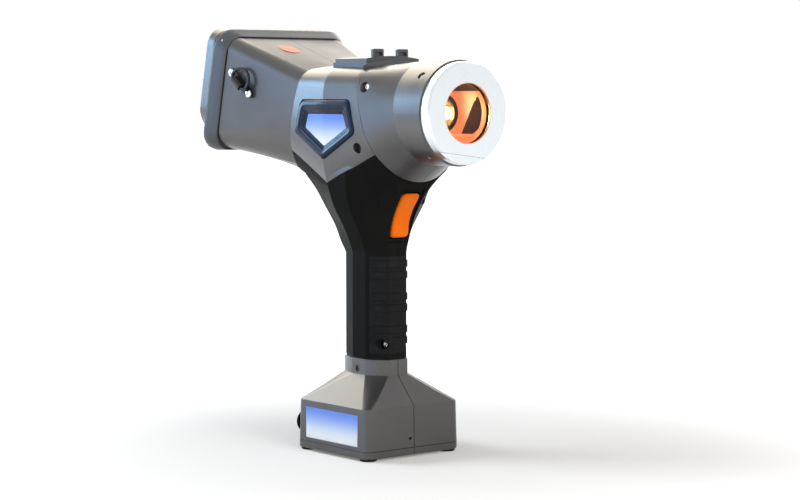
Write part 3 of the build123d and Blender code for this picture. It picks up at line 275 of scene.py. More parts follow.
def soft_rubber(name, colour, roughness, grain=0.0007, depth=0.00006):
    """Matt rubber with a fine stipple and a little dust."""
    finish = Finish(name, colour, specular_ior_level=0.1)
    stipple = finish.node("ShaderNodeTexVoronoi", {"feature": "SMOOTH_F1"},
                          {"Vector": finish.place, "Scale": 1 / grain, "Smoothness": 0.6})
    dust = finish.grain(0.016, 4.0)
    finish.set("Base Color", finish.mixed(finish.smooth_step(dust, 0.45, 0.8), colour,
                                          scaled(colour, 1.5, 0.004)))
    finish.set("Roughness", roughness + 0.12 * dust)
    finish.relief(stipple, depth, 0.0004)
    return finish.material


def printed_plate(name, top_z, bottom_z):
    """Glossy plate printed with a blue gradient that pales downwards."""
    finish = Finish(name, (0.2, 0.3, 0.8), specular_ior_level=0.15)
    height = finish.smooth_step(finish.axis("Z"), bottom_z, top_z)
    print_grain = finish.grain(0.0005, 1.0)
    blue = finish.node("ShaderNodeValToRGB", {"stops": [
        (0.0, (0.94, 0.97, 1.0)), (0.3, (0.72, 0.83, 1.0)), (0.65, (0.42, 0.57, 1.0)),
        (1.0, (0.18, 0.32, 0.94))]}, {0: height + 0.04 * print_grain})
    finish.set("Base Color", blue)
    finish.set("Roughness", 0.32 + 0.12 * finish.grain(0.02, 3.0))
    finish.relief(print_grain, 0.000008, 0.00025)
    return finish.material


def oval_print(name):
    """Plain orange print of the oval on the housing."""
    finish = Finish(name, (0.8, 0.16, 0.08), specular_ior_level=0.2)
    cloud = finish.grain(0.006)
    finish.set("Base Color", finish.mixed(cloud, (0.90, 0.21, 0.09), (0.80, 0.15, 0.06)))
    finish.set("Roughness", 0.28 + 0.1 * cloud)
    finish.relief(finish.grain(0.0006, 1.0), 0.00001, 0.0002)
    return finish.material


def clear_glass(name, colour, alpha, roughness):
    """Thin glass that is mostly see-through."""
    finish = Finish(name, colour, alpha=alpha)
    finish.set("Roughness", roughness + 0.04 * finish.grain(0.01, 3.0))
    return finish.material


def chamber_lining(name):
    """Warm reflector of the chamber, with painted light: its emission paints a glow where the lamp
    shines on it, and painted shade darkens its top.
    """
    finish = Finish(name, (0.45, 0.17, 0.06), metallic=0.2)
    hammered = finish.grain(0.0022)
    # Painted light: a pool of glow round the brightest spot, given as emission
    glow = 1 - finish.smooth_step(finish.vector("DISTANCE", brightest_spot), 0.003, 0.021)
    # Painted shade over the chamber's top, in both its colour and its emission
    dark = finish.smooth_step(finish.axis("Z"), chamber_shaded_top_z, chamber_shaded_top_z + 0.0012)
    wall = finish.mixed(glow * (1.05 + 0.3 * hammered), (0.88, 0.25, 0.10), (1.0, 0.86, 0.42))
    finish.set("Base Color", finish.mixed(dark, (0.40, 0.16, 0.06), (0.006, 0.005, 0.005)))
    finish.set("Roughness", 0.42 + 0.14 * hammered)
    finish.set("Emission Color", finish.mixed(dark, wall, (0.035, 0.018, 0.012)))
    finish.set("Emission Strength", 0.95)
    finish.relief(hammered, 0.00008)
    return finish.material


def hot_lamp(name):
    """Lit quartz of the lamp, hotter at its tip."""
    finish = Finish(name, (1.0, 0.85, 0.6))
    heat = finish.smooth_step(finish.axis("X"), 0.060, bulb_tip_x)
    shimmer = finish.grain(0.002)
    finish.set("Emission Color", finish.mixed(heat * (0.85 + 0.3 * shimmer), (1.0, 0.45, 0.12),
                                              (1.0, 0.86, 0.55)))
    finish.set("Emission Strength", 5.0)
    finish.set("Roughness", 0.1 + 0.1 * shimmer)
    return finish.material


def circuit_board(name):
    """Green board with a pattern of tracks."""
    finish = Finish(name, (0.01, 0.09, 0.04), coat_weight=0.3)
    turned_place = finish.node("ShaderNodeMapping", sockets={
        "Vector": finish.place, "Rotation": (math.pi / 2, 0, 0.3)})
    tracks = finish.node("ShaderNodeTexBrick", {"offset": 0.35, "squash": 1.0}, {
        "Vector": turned_place, "Color1": (0.012, 0.10, 0.045), "Color2": (0.008, 0.06, 0.03),
        "Mortar": (0.10, 0.22, 0.07), "Scale": 160.0, "Mortar Size": 0.03})
    finish.set("Base Color", tracks)
    finish.set("Roughness", 0.4 + 0.15 * finish.grain(0.003))
    finish.relief(finish.grain(0.0008, 1.0), 0.00004)
    return finish.material


def screen_axes(finish):
    """Places across and up the display, from its middle, in metres."""
    return finish.axis("Y"), finish.along(panel_point, panel_up) - screen_middle


def lit_screen(name):
    """Display showing a plain absorbance curve over a grid, with no lettering."""
    finish = Finish(name, (0.01, 0.014, 0.02), coat_weight=0.2)
    across, height = screen_axes(finish)
    across, height = across / screen_half_width, height / screen_half_height
    broad_wave = (across * 3.1 + 0.5).math("SINE") * 0.28
    short_wave = (across * 7.3 - 1.1).math("SINE") * 0.16
    curve = broad_wave + short_wave - 0.05
    line = abs(height - curve) < 0.035
    under = (height < curve) * (height > -0.72)
    grid_lines = ((across * 5 + 0.5).math("FRACT") < 0.03).math(
        "MAXIMUM", (height * 4 + 0.5).math("FRACT") < 0.045)
    plot = (abs(across) < 0.9) * (abs(height + 0.02) < 0.72)
    bar = (height > 0.80) * (height < 0.92) * (abs(across) < 0.9)
    shown = finish.mixed(grid_lines * plot, (0.006, 0.012, 0.03), (0.03, 0.07, 0.11))
    for share, colour in ((under * plot * 0.55, (0.015, 0.16, 0.26)),
                          (line * plot, (0.15, 0.85, 0.95)), (bar, (0.05, 0.12, 0.30))):
        shown = finish.mixed(share, shown, colour)
    finish.set("Emission Color", shown)
    finish.set("Emission Strength", 0.8)
    finish.set("Roughness", 0.25 + 0.05 * finish.grain(0.004))
    return finish.material


def screen_cover(name):
    """Glass over the display: black round its edge, clear over the lit area."""
    finish = Finish(name, (0.006, 0.006, 0.008))
    across, height = screen_axes(finish)
    lit = (abs(across) < screen_half_width) * (abs(height) < screen_half_height)
    finish.set("Alpha", 1 - lit * 0.88)
    finish.set("Roughness", 0.06 + 0.05 * finish.grain(0.02, 4.0))
    return finish.material


finishes = {
    "grey_shell": moulded(
        "satin_grey_paint", (0.094, 0.091, 0.091), (0.106, 0.102, 0.100), roughness=0.30,
        spread=0.06, grain=0.00035, depth=0.000012, edge=0.0007, shaded_seams=True, metallic=0.75,
        coat_weight=0.1, coat_roughness=0.25),
    "black_shell": moulded(
        "black_moulded_plastic", (0.009, 0.009, 0.0088), (0.011, 0.011, 0.0105), roughness=0.40,
        spread=0.08, grain=0.0006, depth=0.00002, edge=0.0006, shaded_seams=True,
        specular_ior_level=0.02),
    "saddle_grey": moulded(
        "dark_grey_plastic", (0.060, 0.062, 0.070), (0.072, 0.074, 0.082), roughness=0.34,
        spread=0.1, grain=0.0005, depth=0.00002, edge=0.0005, metallic=0.15, coat_weight=0.1),
    "badge_frame": moulded(
        "gloss_blue_black", (0.003, 0.009, 0.030), (0.004, 0.012, 0.038), roughness=0.24,
        spread=0.05, grain=0.001, depth=0.000004, edge=0.0, specular_ior_level=0.2),
    "orange_plastic": moulded(
        "orange_moulded_plastic", (1.0, 0.19, 0.004), (0.97, 0.17, 0.003), roughness=0.42,
        spread=0.08, grain=0.0006, depth=0.00002, edge=0.0013, specular_ior_level=0.12),
    "switch_black": moulded(
        "black_inner_plastic", (0.016, 0.016, 0.017), (0.022, 0.022, 0.023), roughness=0.5,
        spread=0.1, grain=0.0009, depth=0.00003, edge=0.0003),
    "strap_wire": moulded(
        "black_coated_steel", (0.012, 0.012, 0.013), (0.022, 0.021, 0.02), roughness=0.24,
        spread=0.14, grain=0.0005, depth=0.00002, edge=0.0003, metallic=0.6, coat_weight=0.3),
    "lamp_black": moulded(
        "black_anodised", (0.020, 0.016, 0.013), (0.03, 0.022, 0.016), roughness=0.42,
        spread=0.1, grain=0.0005, depth=0.00002, edge=0.0002, metallic=0.6),
    "baffle": moulded(
        "scorched_baffle", (0.012, 0.008, 0.007), (0.036, 0.024, 0.020), roughness=0.5,
        spread=0.2, grain=0.0012, depth=0.00008, edge=0.0002, metallic=0.3,
        specular_ior_level=0.2),
    "cell_pack": moulded(
        "dark_film_wrap", (0.02, 0.024, 0.035), (0.03, 0.034, 0.045), roughness=0.3,
        spread=0.1, grain=0.003, depth=0.0001, edge=0.0006, coat_weight=0.3),
    "grip_rubber": soft_rubber("black_grip_rubber", (0.008, 0.008, 0.0085), 0.5),
    "foot_rubber": soft_rubber("foot_rubber", (0.016, 0.016, 0.016), 0.62),
    "seal_rubber": soft_rubber("seal_rubber", (0.010, 0.010, 0.0105), 0.46, 0.001, 0.00003),
    "nose_metal": turned_metal("turned_nose_metal", (0.775, 0.82, 0.85), 0.17),
    "screw_metal": machined_metal("bright_screw_steel", (0.74, 0.73, 0.70), 0.16),
    "dull_screw": machined_metal("dull_screw_steel", (0.10, 0.09, 0.08), 0.35),
    "copper": machined_metal("thin_copper_lip", (0.95, 0.45, 0.20), 0.25),
    "machined_aluminium": machined_metal("milled_aluminium", (0.66, 0.67, 0.68), 0.28,
                                         stretch=(1, 1, 14)),
    "flag_metal": machined_metal("blasted_aluminium", (0.80, 0.80, 0.78), 0.4),
    "lamp_mirror": machined_metal("polished_reflector", (0.95, 0.86, 0.66), 0.06),
    "chamber_gold": chamber_lining("warm_reflector"),
    "window_glass": clear_glass("window_glass", (0.03, 0.035, 0.04), 0.08, 0.02),
    "lens_glass": clear_glass("lens_glass", (0.75, 0.82, 0.95), 0.35, 0.03),
    "bulb_glass": hot_lamp("lit_quartz"),
    "display_glass": screen_cover("display_glass"),
    "display": lit_screen("lit_display"),
    "board": circuit_board("circuit_board"),
    "oval_orange": oval_print("oval_print"),
}
plates = {
    "base_side_plate": printed_plate("side_plate_print", top_z=0.0374, bottom_z=0.0114),
    "badge_plate": printed_plate("badge_print", top_z=0.2815, bottom_z=0.2565),
}
for name, thing in nodes.items():
    finish = plates.get(name) or finishes[slot_of[name]]
    for place in thing.material_slots:
        place.material = finish


# Adding objects and pieces

def linked(name, data):
    """A new object in the scene."""
    holder = bpy.data.objects.new(name, data)
    bpy.context.scene.collection.objects.link(holder)
    return holder


def settle(piece, body, replaced=()):
    """Puts a piece on its body, in place of the nodes that it replaces."""
    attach(piece, body)
    if replaced:
        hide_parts(*replaced)


# Geometry Nodes: screws and coiled wire

def group(name, numbers):
    """A Geometry Nodes tree whose inputs are points, numbers and a finish, and those inputs."""
    tree = bpy.data.node_groups.new(name, "GeometryNodeTree")
    inputs = [("Geometry", "Geometry")] + [(number, "Float") for number in numbers]
    tree.interface.new_socket("Geometry", in_out="OUTPUT", socket_type="NodeSocketGeometry")
    for socket, kind in inputs + [("Finish", "Material")]:
        tree.interface.new_socket(socket, in_out="INPUT", socket_type="NodeSocket" + kind)
    made = Tree(tree)
    entry = tree.nodes.new("NodeGroupInput")
    given = {socket.name: Value(made, socket) for socket in entry.outputs if socket.name}
    return made, given


def at_each_point(made, shape, given):
    """Ends a tree with a copy of a shape at each point, turned to its facing, in the finish."""
    facing = made.node("GeometryNodeInputNamedAttribute", {"data_type": "FLOAT_VECTOR"},
                       {"Name": "facing"})
    turn = made.node("FunctionNodeAlignRotationToVector", {"axis": "Z"}, {"Vector": facing})
    placed = made.node("GeometryNodeInstanceOnPoints", sockets={
        "Points": given["Geometry"], "Instance": shape, "Rotation": turn})
    real = made.node("GeometryNodeRealizeInstances", sockets={0: placed})
    coated = made.node("GeometryNodeSetMaterial",
                       sockets={"Geometry": real, "Material": given["Finish"]})
    made.node("NodeGroupOutput", sockets={0: coated})
    return made.tree


def cylinder(made, radius, depth, vertices, rings=1):
    """Upright cylinder about the origin, with rings of faces in its ends."""
    return made.node("GeometryNodeMeshCylinder", sockets={
        "Vertices": vertices, "Radius": radius, "Depth": depth, "Fill Segments": rings})


def lifted(made, shape, height):
    """A shape moved up."""
    offset = made.node("ShaderNodeCombineXYZ", sockets={"Z": height})
    return made.node("GeometryNodeTransform", sockets={"Geometry": shape, "Translation": offset})


def socket_screws():
    """Button-head screws with a six-sided socket, one at each point, facing its direction."""
    made, given = group("socket_screws", ["Head radius", "Head height", "Dome", "Socket radius",
                                          "Socket depth", "Shank radius", "Shank length"])
    radius, height = given["Head radius"], given["Head height"]
    spot = made.node("GeometryNodeInputPosition")
    x, y, z = (made.node("ShaderNodeSeparateXYZ", sockets={0: spot}, out=i) for i in range(3))
    reach = (x * x + y * y) / (radius * radius)
    drop = made.node("ShaderNodeCombineXYZ", sockets={"Z": reach * given["Dome"] * -1})
    domed = made.node("GeometryNodeSetPosition", sockets={
        "Geometry": cylinder(made, radius, height, 40, 5), "Selection": z > height * 0.25,
        "Offset": drop})
    hole = cylinder(made, given["Socket radius"], given["Socket depth"] * 2, 6)
    drilled = made.node("GeometryNodeMeshBoolean", {"operation": "DIFFERENCE"}, {
        "Mesh 1": lifted(made, domed, height / 2), "Mesh 2": lifted(made, hole, height)})
    shank = cylinder(made, given["Shank radius"], given["Shank length"], 24)
    sunk_shank = lifted(made, shank, given["Shank length"] / -2)
    screw = made.node("GeometryNodeJoinGeometry", sockets={0: [drilled, sunk_shank]})
    return at_each_point(made, screw, given)


def coiled_wire():
    """A coil of round wire that stands on each point along its direction."""
    made, given = group("coiled_wire", ["Coil radius", "Turns", "Length", "Wire radius"])
    line = made.node("GeometryNodeCurveSpiral", sockets={
        "Resolution": 20, "Rotations": given["Turns"], "Start Radius": given["Coil radius"],
        "End Radius": given["Coil radius"], "Height": given["Length"]})
    round_wire = made.node("GeometryNodeCurvePrimitiveCircle",
                           sockets={"Resolution": 8, "Radius": given["Wire radius"]})
    coil = made.node("GeometryNodeCurveToMesh", sockets={
        "Curve": line, "Profile Curve": round_wire, "Fill Caps": True})
    return at_each_point(made, coil, given)


screw_tree = socket_screws()
wire_tree = coiled_wire()


def repeated(name, tree, places, finish, slot, replaced=(), **sizes):
    """A piece with a copy of a tree's shape at each point and direction, in millimetres."""
    points = bpy.data.meshes.new(name)
    points.from_pydata([Vector(point) * mm for point, facing in places], [], [])
    directions = points.attributes.new("facing", "FLOAT_VECTOR", "POINT")
    directions.data.foreach_set("vector", [c for point, facing in places for c in facing])
    piece = linked(name, points)
    modifier = piece.modifiers.new(name, "NODES")
    modifier.node_group = tree
    wanted = {key.replace("_", " ").capitalize(): value for key, value in sizes.items()}
    for item in tree.interface.items_tree:
        if item.name in wanted and item.in_out == "INPUT":
            unit = 1 if item.name == "Turns" else mm
            modifier[item.identifier] = wanted[item.name] * unit
        elif item.name == "Finish":
            modifier[item.identifier] = finishes[finish]
    evaluated = piece.evaluated_get(bpy.context.evaluated_depsgraph_get())
    shape = bpy.data.meshes.new_from_object(evaluated)
    piece.modifiers.remove(modifier)
    piece.data = shape
    shape.shade_smooth()
    shape.set_sharp_from_angle(angle=math.radians(28))
    settle(piece, "analyzer", replaced)


def screws(name, places, replaced=(), finish="screw_metal", **sizes):
    """A piece with a button-head screw at each place."""
    repeated(name, screw_tree, places, finish, "screw_metal", replaced, **sizes)


def both_sides(places):
    """Points and directions, followed by their mirror images on the other side."""
    return places + [((x, -y, z), (a, -b, c)) for (x, y, z), (a, b, c) in places]


to_the_right = (0, -1, 0)
lug_facing = (0.1954, -0.9807, 0)
ring_screw_x = 93.0
ring_screw_reach = 39.8
ring_places = []
for angle in (45.0, -58.0):
    side, up = math.cos(math.radians(angle)), math.sin(math.radians(angle))
    ring_places.append(((ring_screw_x, -ring_screw_reach * side, nose_axis + ring_screw_reach * up),
                        (0, -side, up)))
base_places = [((x, y, 3.9), (0, 0, -1)) for x in (-24.0, 24.0) for y in (-43.6, 43.6)]
cover_seat = panel_middle + panel_out * 23
cover_places = [(tuple(cover_seat + panel_up * v + Vector((0, y, 0))), tuple(panel_out))
                for v in (-22.0, 44.0) for y in (-63.8, 63.8)]

screws("ring_screw_heads", both_sides(ring_places), ["ring_screws"],
       head_radius=2.9, head_height=1.8, dome=0.7, socket_radius=1.45, socket_depth=1.0,
       shank_radius=1.3, shank_length=2.4)
screws("strap_lug_heads", both_sides([((-121.66, -63.344, 317.266), lug_facing),
                                      ((-102.128, -59.452, 299.334), lug_facing)]),
       ["strap_lug_screws"],
       head_radius=3.3, head_height=1.9, dome=0.9, socket_radius=1.5, socket_depth=1.0,
       shank_radius=1.4, shank_length=5.6)
screws("barrel_screw_heads", both_sides([((38.8, -41.4, 304.4), to_the_right)]), ["body_screws"],
       head_radius=2.9, head_height=1.4, dome=0.8, socket_radius=1.5, socket_depth=0.7,
       shank_radius=1.7, shank_length=7.0)
screws("yoke_screw_heads", both_sides([((32.8, -43.2, 255.2), to_the_right)]), finish="dull_screw",
       head_radius=3.6, head_height=1.2, dome=0.5, socket_radius=1.7, socket_depth=0.6,
       shank_radius=1.7, shank_length=7.0)
screws("collar_screw_head", [((0, -20.0, 70.4), to_the_right)], finish="dull_screw",
       head_radius=2.7, head_height=1.1, dome=0.3, socket_radius=1.4, socket_depth=0.6,
       shank_radius=1.7, shank_length=6.2)
screws("base_plate_heads", base_places, ["base_plate_screws"],
       head_radius=2.8, head_height=1.7, dome=0.4, socket_radius=1.35, socket_depth=1.0,
       shank_radius=1.5, shank_length=15.0)
screws("rear_cover_heads", cover_places, ["rear_cover_screws"],
       head_radius=2.4, head_height=2.0, dome=0.5, socket_radius=1.3, socket_depth=1.1,
       shank_radius=1.6, shank_length=16.0)
repeated("lamp_filament", wire_tree, [((76.4, -2.0, nose_axis), (0, 1, 0))], "lamp_black",
         "lamp_black", coil_radius=0.7, turns=7, length=4.0, wire_radius=0.16)


# Smooth pieces made from rings of points

def finished_mesh(name, shape, finish):
    """A mesh from an edited shape, with its normals turned outwards and its finish."""
    bmesh.ops.recalc_face_normals(shape, faces=shape.faces)
    mesh = bpy.data.meshes.new(name)
    shape.to_mesh(mesh)
    shape.free()
    mesh.materials.append(finishes[finish])
    return mesh


def skinned(name, rings, finish, replaced=(), body="analyzer", close_ends=True, sharp=40):
    """A surface through rings of matching points, in millimetres."""
    shape = bmesh.new()
    loops = [[shape.verts.new(Vector(point) * mm) for point in ring] for ring in rings]
    count = len(rings[0])
    for first, second in zip(loops, loops[1:]):
        for i in range(count):
            j = (i + 1) % count
            shape.faces.new((first[i], first[j], second[j], second[i]))
    if close_ends:
        shape.faces.new(loops[0])
        shape.faces.new(loops[-1])
    bmesh.ops.remove_doubles(shape, verts=shape.verts, dist=1e-6)
    mesh = finished_mesh(name, shape, finish)
    mesh.shade_smooth()
    mesh.set_sharp_from_angle(angle=math.radians(sharp))
    settle(linked(name, mesh), body, replaced)


def box_corners(half, low, high):
    """Corners of a rectangle about the middle plane."""
    return [(-half, low), (half, low), (half, high), (-half, high)]


def rounded(corners, radius, arc=7, side=6):
    """Points round a polygon whose corners are rounded, always the same number of them."""
    points = []
    count = len(corners)
    for i, corner in enumerate(corners):
        here = Vector(corner)
        before = (Vector(corners[i - 1]) - here).normalized()
        after = (Vector(corners[(i + 1) % count]) - here).normalized()
        half = before.angle(after) / 2
        middle = here + (before + after).normalized() * (radius / math.sin(half))
        start = here + before * (radius / math.tan(half)) - middle
        end = here + after * (radius / math.tan(half)) - middle
        points.append([middle + (start * (1 - k / arc) + end * (k / arc)).normalized() * radius
                       for k in range(arc + 1)])
    ring = []
    for i, bend in enumerate(points):
        following = points[(i + 1) % count][0]
        ring += bend + [bend[-1].lerp(following, k / side) for k in range(1, side)]
    return ring


def curve_value(stops, at):
    """Smooth value at a place between given stops."""
    for (a, low), (b, high) in zip(stops, stops[1:]):
        if at <= b:
            share = (at - a) / (b - a)
            return low + (high - low) * (share * share * (3 - 2 * share))
    return stops[-1][1]


# The bezel lies on the yoke's side, at y = yoke_crease_y on the crease and nearer the middle
# behind it, ahead of it and above yoke_shoulder_z.

yoke_crease_x = -7.5
yoke_crease_y = -52.5
yoke_fall_behind = 0.043
yoke_fall_ahead = 0.0777
yoke_fall_above = 0.09
yoke_shoulder_z = 286
bezel_outer = [(-39.4, 294.3), (24.4, 294.3), (32.6, 267.0), (-7.5, 244.8), (-47.6, 267.0)]
bezel_inner = [(-29.2, 282.5), (16.8, 282.5), (20.8, 271.2), (-6.2, 256.4), (-33.2, 271.2)]
bezel_swell = [(0.0, 0.7), (0.03, -0.1), (0.16, -1.25), (0.34, -1.55), (0.62, -0.7), (0.92, 0.75),
               (1.0, 0.95)]
bezel_steps = 28
bezel_corner = 6.5
bezel_corner_loss = 5.3
bezel_outer_depth = 3.4
bezel_inner_depth = 2.4


def yoke_face(x, z):
    """Y of the yoke's side, which folds at its crease and rolls over at the top."""
    behind = max(0, yoke_crease_x - x) * yoke_fall_behind
    ahead = max(0, x - yoke_crease_x) * yoke_fall_ahead
    return yoke_crease_y + behind + ahead + yoke_fall_above * max(0, z - yoke_shoulder_z)


def badge_bezel():
    """Five-sided bezel that swells outwards and falls to its plate, with walls into the yoke."""
    face = []
    for step in range(bezel_steps + 1):
        share = step / bezel_steps
        corners = [Vector(a).lerp(Vector(b), share) for a, b in zip(bezel_outer, bezel_inner)]
        face.append([(x, yoke_face(x, z) + curve_value(bezel_swell, share), z)
                     for x, z in rounded(corners, bezel_corner - bezel_corner_loss * share)])
    outer, inner = ([(x, yoke_face(x, z) + depth, z) for x, y, z in edge]
                    for edge, depth in ((face[0], bezel_outer_depth),
                                        (face[-1], bezel_inner_depth)))
    skinned("badge_bezel", [outer] + face + [inner, outer], "badge_frame",
            ["badge_frame"], close_ends=False)


def arc_points(radius, height, sides):
    """Pairs round a circle, from its radius and the height of its middle."""
    angles = [2 * math.pi * k / sides for k in range(sides)]
    return [(radius * math.cos(a), height + radius * math.sin(a)) for a in angles]


def turned(name, profile, finish):
    """A ring turned about the nose's axis from (x, radius) pairs that run round its section."""
    rings = [[(x, y, z) for y, z in arc_points(radius, nose_axis, 72)]
             for x, radius in profile + profile[:1]]
    skinned(name, rings, finish, close_ends=False, sharp=30)


def baffle_plate():
    """Thin slanted plate with a step in its upper corner."""
    near_x, near_y, slant = 86.0, 18.0, 0.43
    outline = [(near_x, 266.8), (95.0, 266.8), (102.0, 273.0), (102.4, 283.5), (102.0, 294.0),
               (99.6, 296.8), (98.0, 296.4), (97.6, 293.6), (96.4, 293.2)]
    face = [(x, near_y + (x - near_x) * slant, z) for x, z in outline]
    back = [(x - 0.4, y + 1.0, z) for x, y, z in face]
    skinned("slanted_baffle", [face, back], "baffle", ["chamber_baffle"])


# The trigger: its blade's front as (z, x), the hollow for a finger in it, and for each ring of
# the blade how far it is inset and how far it lies behind the front. The largest inset closes
# the blade along a line, less a trace of width, since rounded() needs sides with a length.

trigger_front =[(180.4, 30.3), (184.5, 31.2), (190.7, 32.8), (196.3, 34.8), (202.1, 37.6),
                 (205.5, 39.6), (209.9, 42.2), (213.8, 44.7), (217.6, 47.1)]
trigger_hollow = [(180.4, 0.0), (184.0, 0.0), (194.0, -1.3), (204.0, -1.2), (212.0, 0.0),
                  (217.6, 0.0)]
trigger_low, trigger_high, trigger_half = 180.4, 217.6, 8.6
trigger_corner = 3.6
trigger_end_inset = 3.4
to_the_middle = 8.5996
trigger_rings = [(to_the_middle, 6.3), (0.6, 6.3), (0.0, 5.7), (0.0, 2.6), (0.25, 1.5),
                 (0.8, 0.75), (1.6, 0.3), (2.6, 0.08), (4.0, 0.0), (5.6, 0.0), (7.2, 0.0),
                 (to_the_middle, 0.0)]
trigger_pin_x, trigger_pin_z, trigger_boss_radius = 29, 211, 3.8


def trigger_front_x(z):
    """X of the blade's front at a height."""
    for (low, near), (high, far) in zip(trigger_front, trigger_front[1:]):
        if z <= high:
            return near + (far - near) * (z - low) / (high - low) + curve_value(trigger_hollow, z)
    return trigger_front[-1][1]


def trigger_bar(start, end, low, high):
    """Bar with rounded edges from one x to another."""
    section = rounded(box_corners(3.5, low, high), 0.6, 3, 2)
    return [[(x, y, z) for y, z in section] for x in (start, end)]


def trigger():
    """Finger-shaped blade with rounded corners, and the boss, arm and finger behind it."""
    blade = []
    for inset, sunk in trigger_rings:
        end = min(inset, trigger_end_inset)
        corners = box_corners(trigger_half - inset, trigger_low + end, trigger_high - end)
        section = rounded(corners, max(trigger_corner - inset, 0.0), 6, 20)
        blade.append([(trigger_front_x(z) - sunk, y, z) for y, z in section])
    boss = [[(trigger_pin_x + across, y, z)
             for across, z in arc_points(trigger_boss_radius, trigger_pin_z, 32)]
            for y in (-trigger_half, trigger_half)]
    for name, rings in (("trigger_blade", blade), ("trigger_boss", boss),
                        ("trigger_arm", trigger_bar(29.0, 38.0, 208, 214)),
                        ("trigger_finger", trigger_bar(14.7, 27.0, 184, 189))):
        skinned(name, rings, "orange_plastic", ["trigger"], body="trigger",
                close_ends=rings is not blade)


def panel_ring(w, half, low, high, radius):
    """Rounded rectangle across the tilted rear unit, at a distance out from panel_middle."""
    return [(Vector((0, y, 0)) + panel_middle + panel_up * v + panel_out * w)[:]
            for y, v in rounded(box_corners(half, low, high), radius, 9, 6)]


# Section of the rear flange: distance out, half width, low, high and corner radius of each ring

flange_section = [
    (14.0, 69.0, -53.5, 53.8, 17.0), (11.2, 69.0, -53.5, 53.8, 17.0),
    (10.4, 68.8, -53.3, 53.6, 16.8), (1.6, 64.9, -51.3, 50.1, 16.0),
    (0.9, 64.3, -50.8, 49.6, 15.6), (0.7, 63.8, -50.3, 49.1, 15.4),
    (1.8, 63.3, -49.8, 48.6, 15.2), (1.8, 62.0, -48.6, 47.4, 14.6),
    (0.05, 61.9, -48.5, 47.3, 14.6), (0.05, 60.6, -47.1, 45.9, 12.0),
    (14.0, 60.6, -47.1, 45.9, 12.0)]


def chamfered_flange():
    """Flange round the rear end: a long slope to the sides, and a groove at the housing."""
    slot = slot_of["rear_flange"]
    rings = [panel_ring(*row) for row in flange_section]
    plate = [panel_ring(w, 63.0, -50.5, -34.0, 1.5) for w in (11.6, 14.0)]
    skinned("chamfered_flange", rings + rings[:1], slot, ["rear_flange"], close_ends=False,
            sharp=25)
    skinned("flange_underside", plate, slot, ["rear_flange"])


# How far past the gap a face may lie and still count as in it, and how far the dark sheet of
# painted seam shade stays from both halves

seam_search = 0.00002
seam_clearance = 0.00003


def in_seam(face):
    """Whether a face lies along the gap between two shell halves."""
    return abs(face.normal.y) > 0.99 and all(
        abs(vert.co.y) < seam_half_gap + seam_search for vert in face.verts)


def seam_shade_sheet(name, node):
    """Thin dark sheet in the gap between two shell halves: painted shade in the seam, which also
    keeps light from showing through it.
    """
    shape = bmesh.new()
    shape.from_mesh(nodes[node].data)
    shape.transform(nodes[node].matrix_world)
    shape.normal_update()
    bmesh.ops.delete(shape, geom=[face for face in shape.faces if not in_seam(face)],
                     context="FACES")
    for vert in shape.verts:
        vert.co.y = -seam_half_gap + seam_clearance
    for part in bmesh.ops.extrude_face_region(shape, geom=shape.faces[:])["geom"]:
        if isinstance(part, bmesh.types.BMVert):
            part.co.y = seam_half_gap - seam_clearance
    mesh = finished_mesh(name, shape, "black_shell")
    settle(linked(name, mesh), "analyzer")


# Dark sheets of painted shade in the seams of the shells
for shell in ("base", "handle", "yoke", "housing"):
    seam_shade_sheet(shell + "_seam_filler", shell + "_shell_left")
badge_bezel()
chamfered_flange()
baffle_plate()
trigger()
turned("lamp_hood", [(83.9, 12.0), (84.7, 12.2), (84.8, 15.2), (84.5, 15.7), (76.0, 15.7),
                     (76.0, 15.61), (83.9, 15.61)], "lamp_black")
turned("copper_lip", [(114.3, 24.32), (114.9, 24.32), (115.0, 23.9), (114.6, 23.7),
                      (114.2, 23.9)], "copper")


# Floor, background, lamps and camera

floor_size = 60
near_glow = (0.21, 0.20, 0.19)
soft_light = 0.34
object_middle = Vector((0, 0, 0.2))
image_width_pixels = 800
focal_length_pixels = 2106.388
sensor_width = 36
camera_distance = 1.765256
camera_turn = math.radians(50.915)
camera_pitch = math.radians(4.143)
camera_right = Vector((math.cos(camera_turn), math.sin(camera_turn), 0))
camera_back = Vector((math.sin(camera_turn) * math.cos(camera_pitch),
                      -math.cos(camera_turn) * math.cos(camera_pitch), math.sin(camera_pitch)))
camera_target = camera_right * 0.018501 + Vector((0, 0, 0.168549))


def shown_rays(tree):
    """1 for rays that should meet the plain background: camera, mirror and glass rays."""
    camera, glossy, glass = (tree.node("ShaderNodeLightPath", out=name) for name in (
        "Is Camera Ray", "Is Glossy Ray", "Is Transmission Ray"))
    return camera.math("MAXIMUM", glossy).math("MAXIMUM", glass)


def studio_floor():
    """Pale floor that runs into the white background, with the object's shadow near it."""
    bpy.ops.mesh.primitive_plane_add(size=floor_size)
    floor = bpy.context.object
    floor.name = "studio_floor"
    finish = Finish("pale_floor", (0.62, 0.62, 0.62), roughness=0.9, specular_ior_level=0.0)
    cloud = finish.grain(0.4)
    finish.set("Base Color", finish.mixed(cloud, (0.61, 0.61, 0.61), (0.63, 0.63, 0.63)))
    distance = finish.node("ShaderNodeVectorMath", {"operation": "LENGTH"}, {0: finish.place},
                           out=1)
    white = finish.mixed(finish.smooth_step(distance, 0.12, 0.75), near_glow, (1, 1, 1))
    finish.set("Emission Color", finish.mixed(shown_rays(finish), (0, 0, 0), white))
    finish.set("Emission Strength", 1.0)
    floor.data.materials.append(finish.material)


def studio_world():
    """White background in front of the camera, and soft even light for everything else."""
    world = bpy.data.worlds.new("studio")
    bpy.context.scene.world = world
    world.use_nodes = True
    tree = Tree(world.node_tree)
    world.node_tree.nodes.clear()
    soft, white = (tree.node("ShaderNodeBackground", sockets={"Color": (1, 1, 1), "Strength": s})
                   for s in (soft_light, 1.0))
    both = tree.node("ShaderNodeMixShader", sockets={0: shown_rays(tree), 1: soft, 2: white})
    tree.node("ShaderNodeOutputWorld", sockets={"Surface": both})


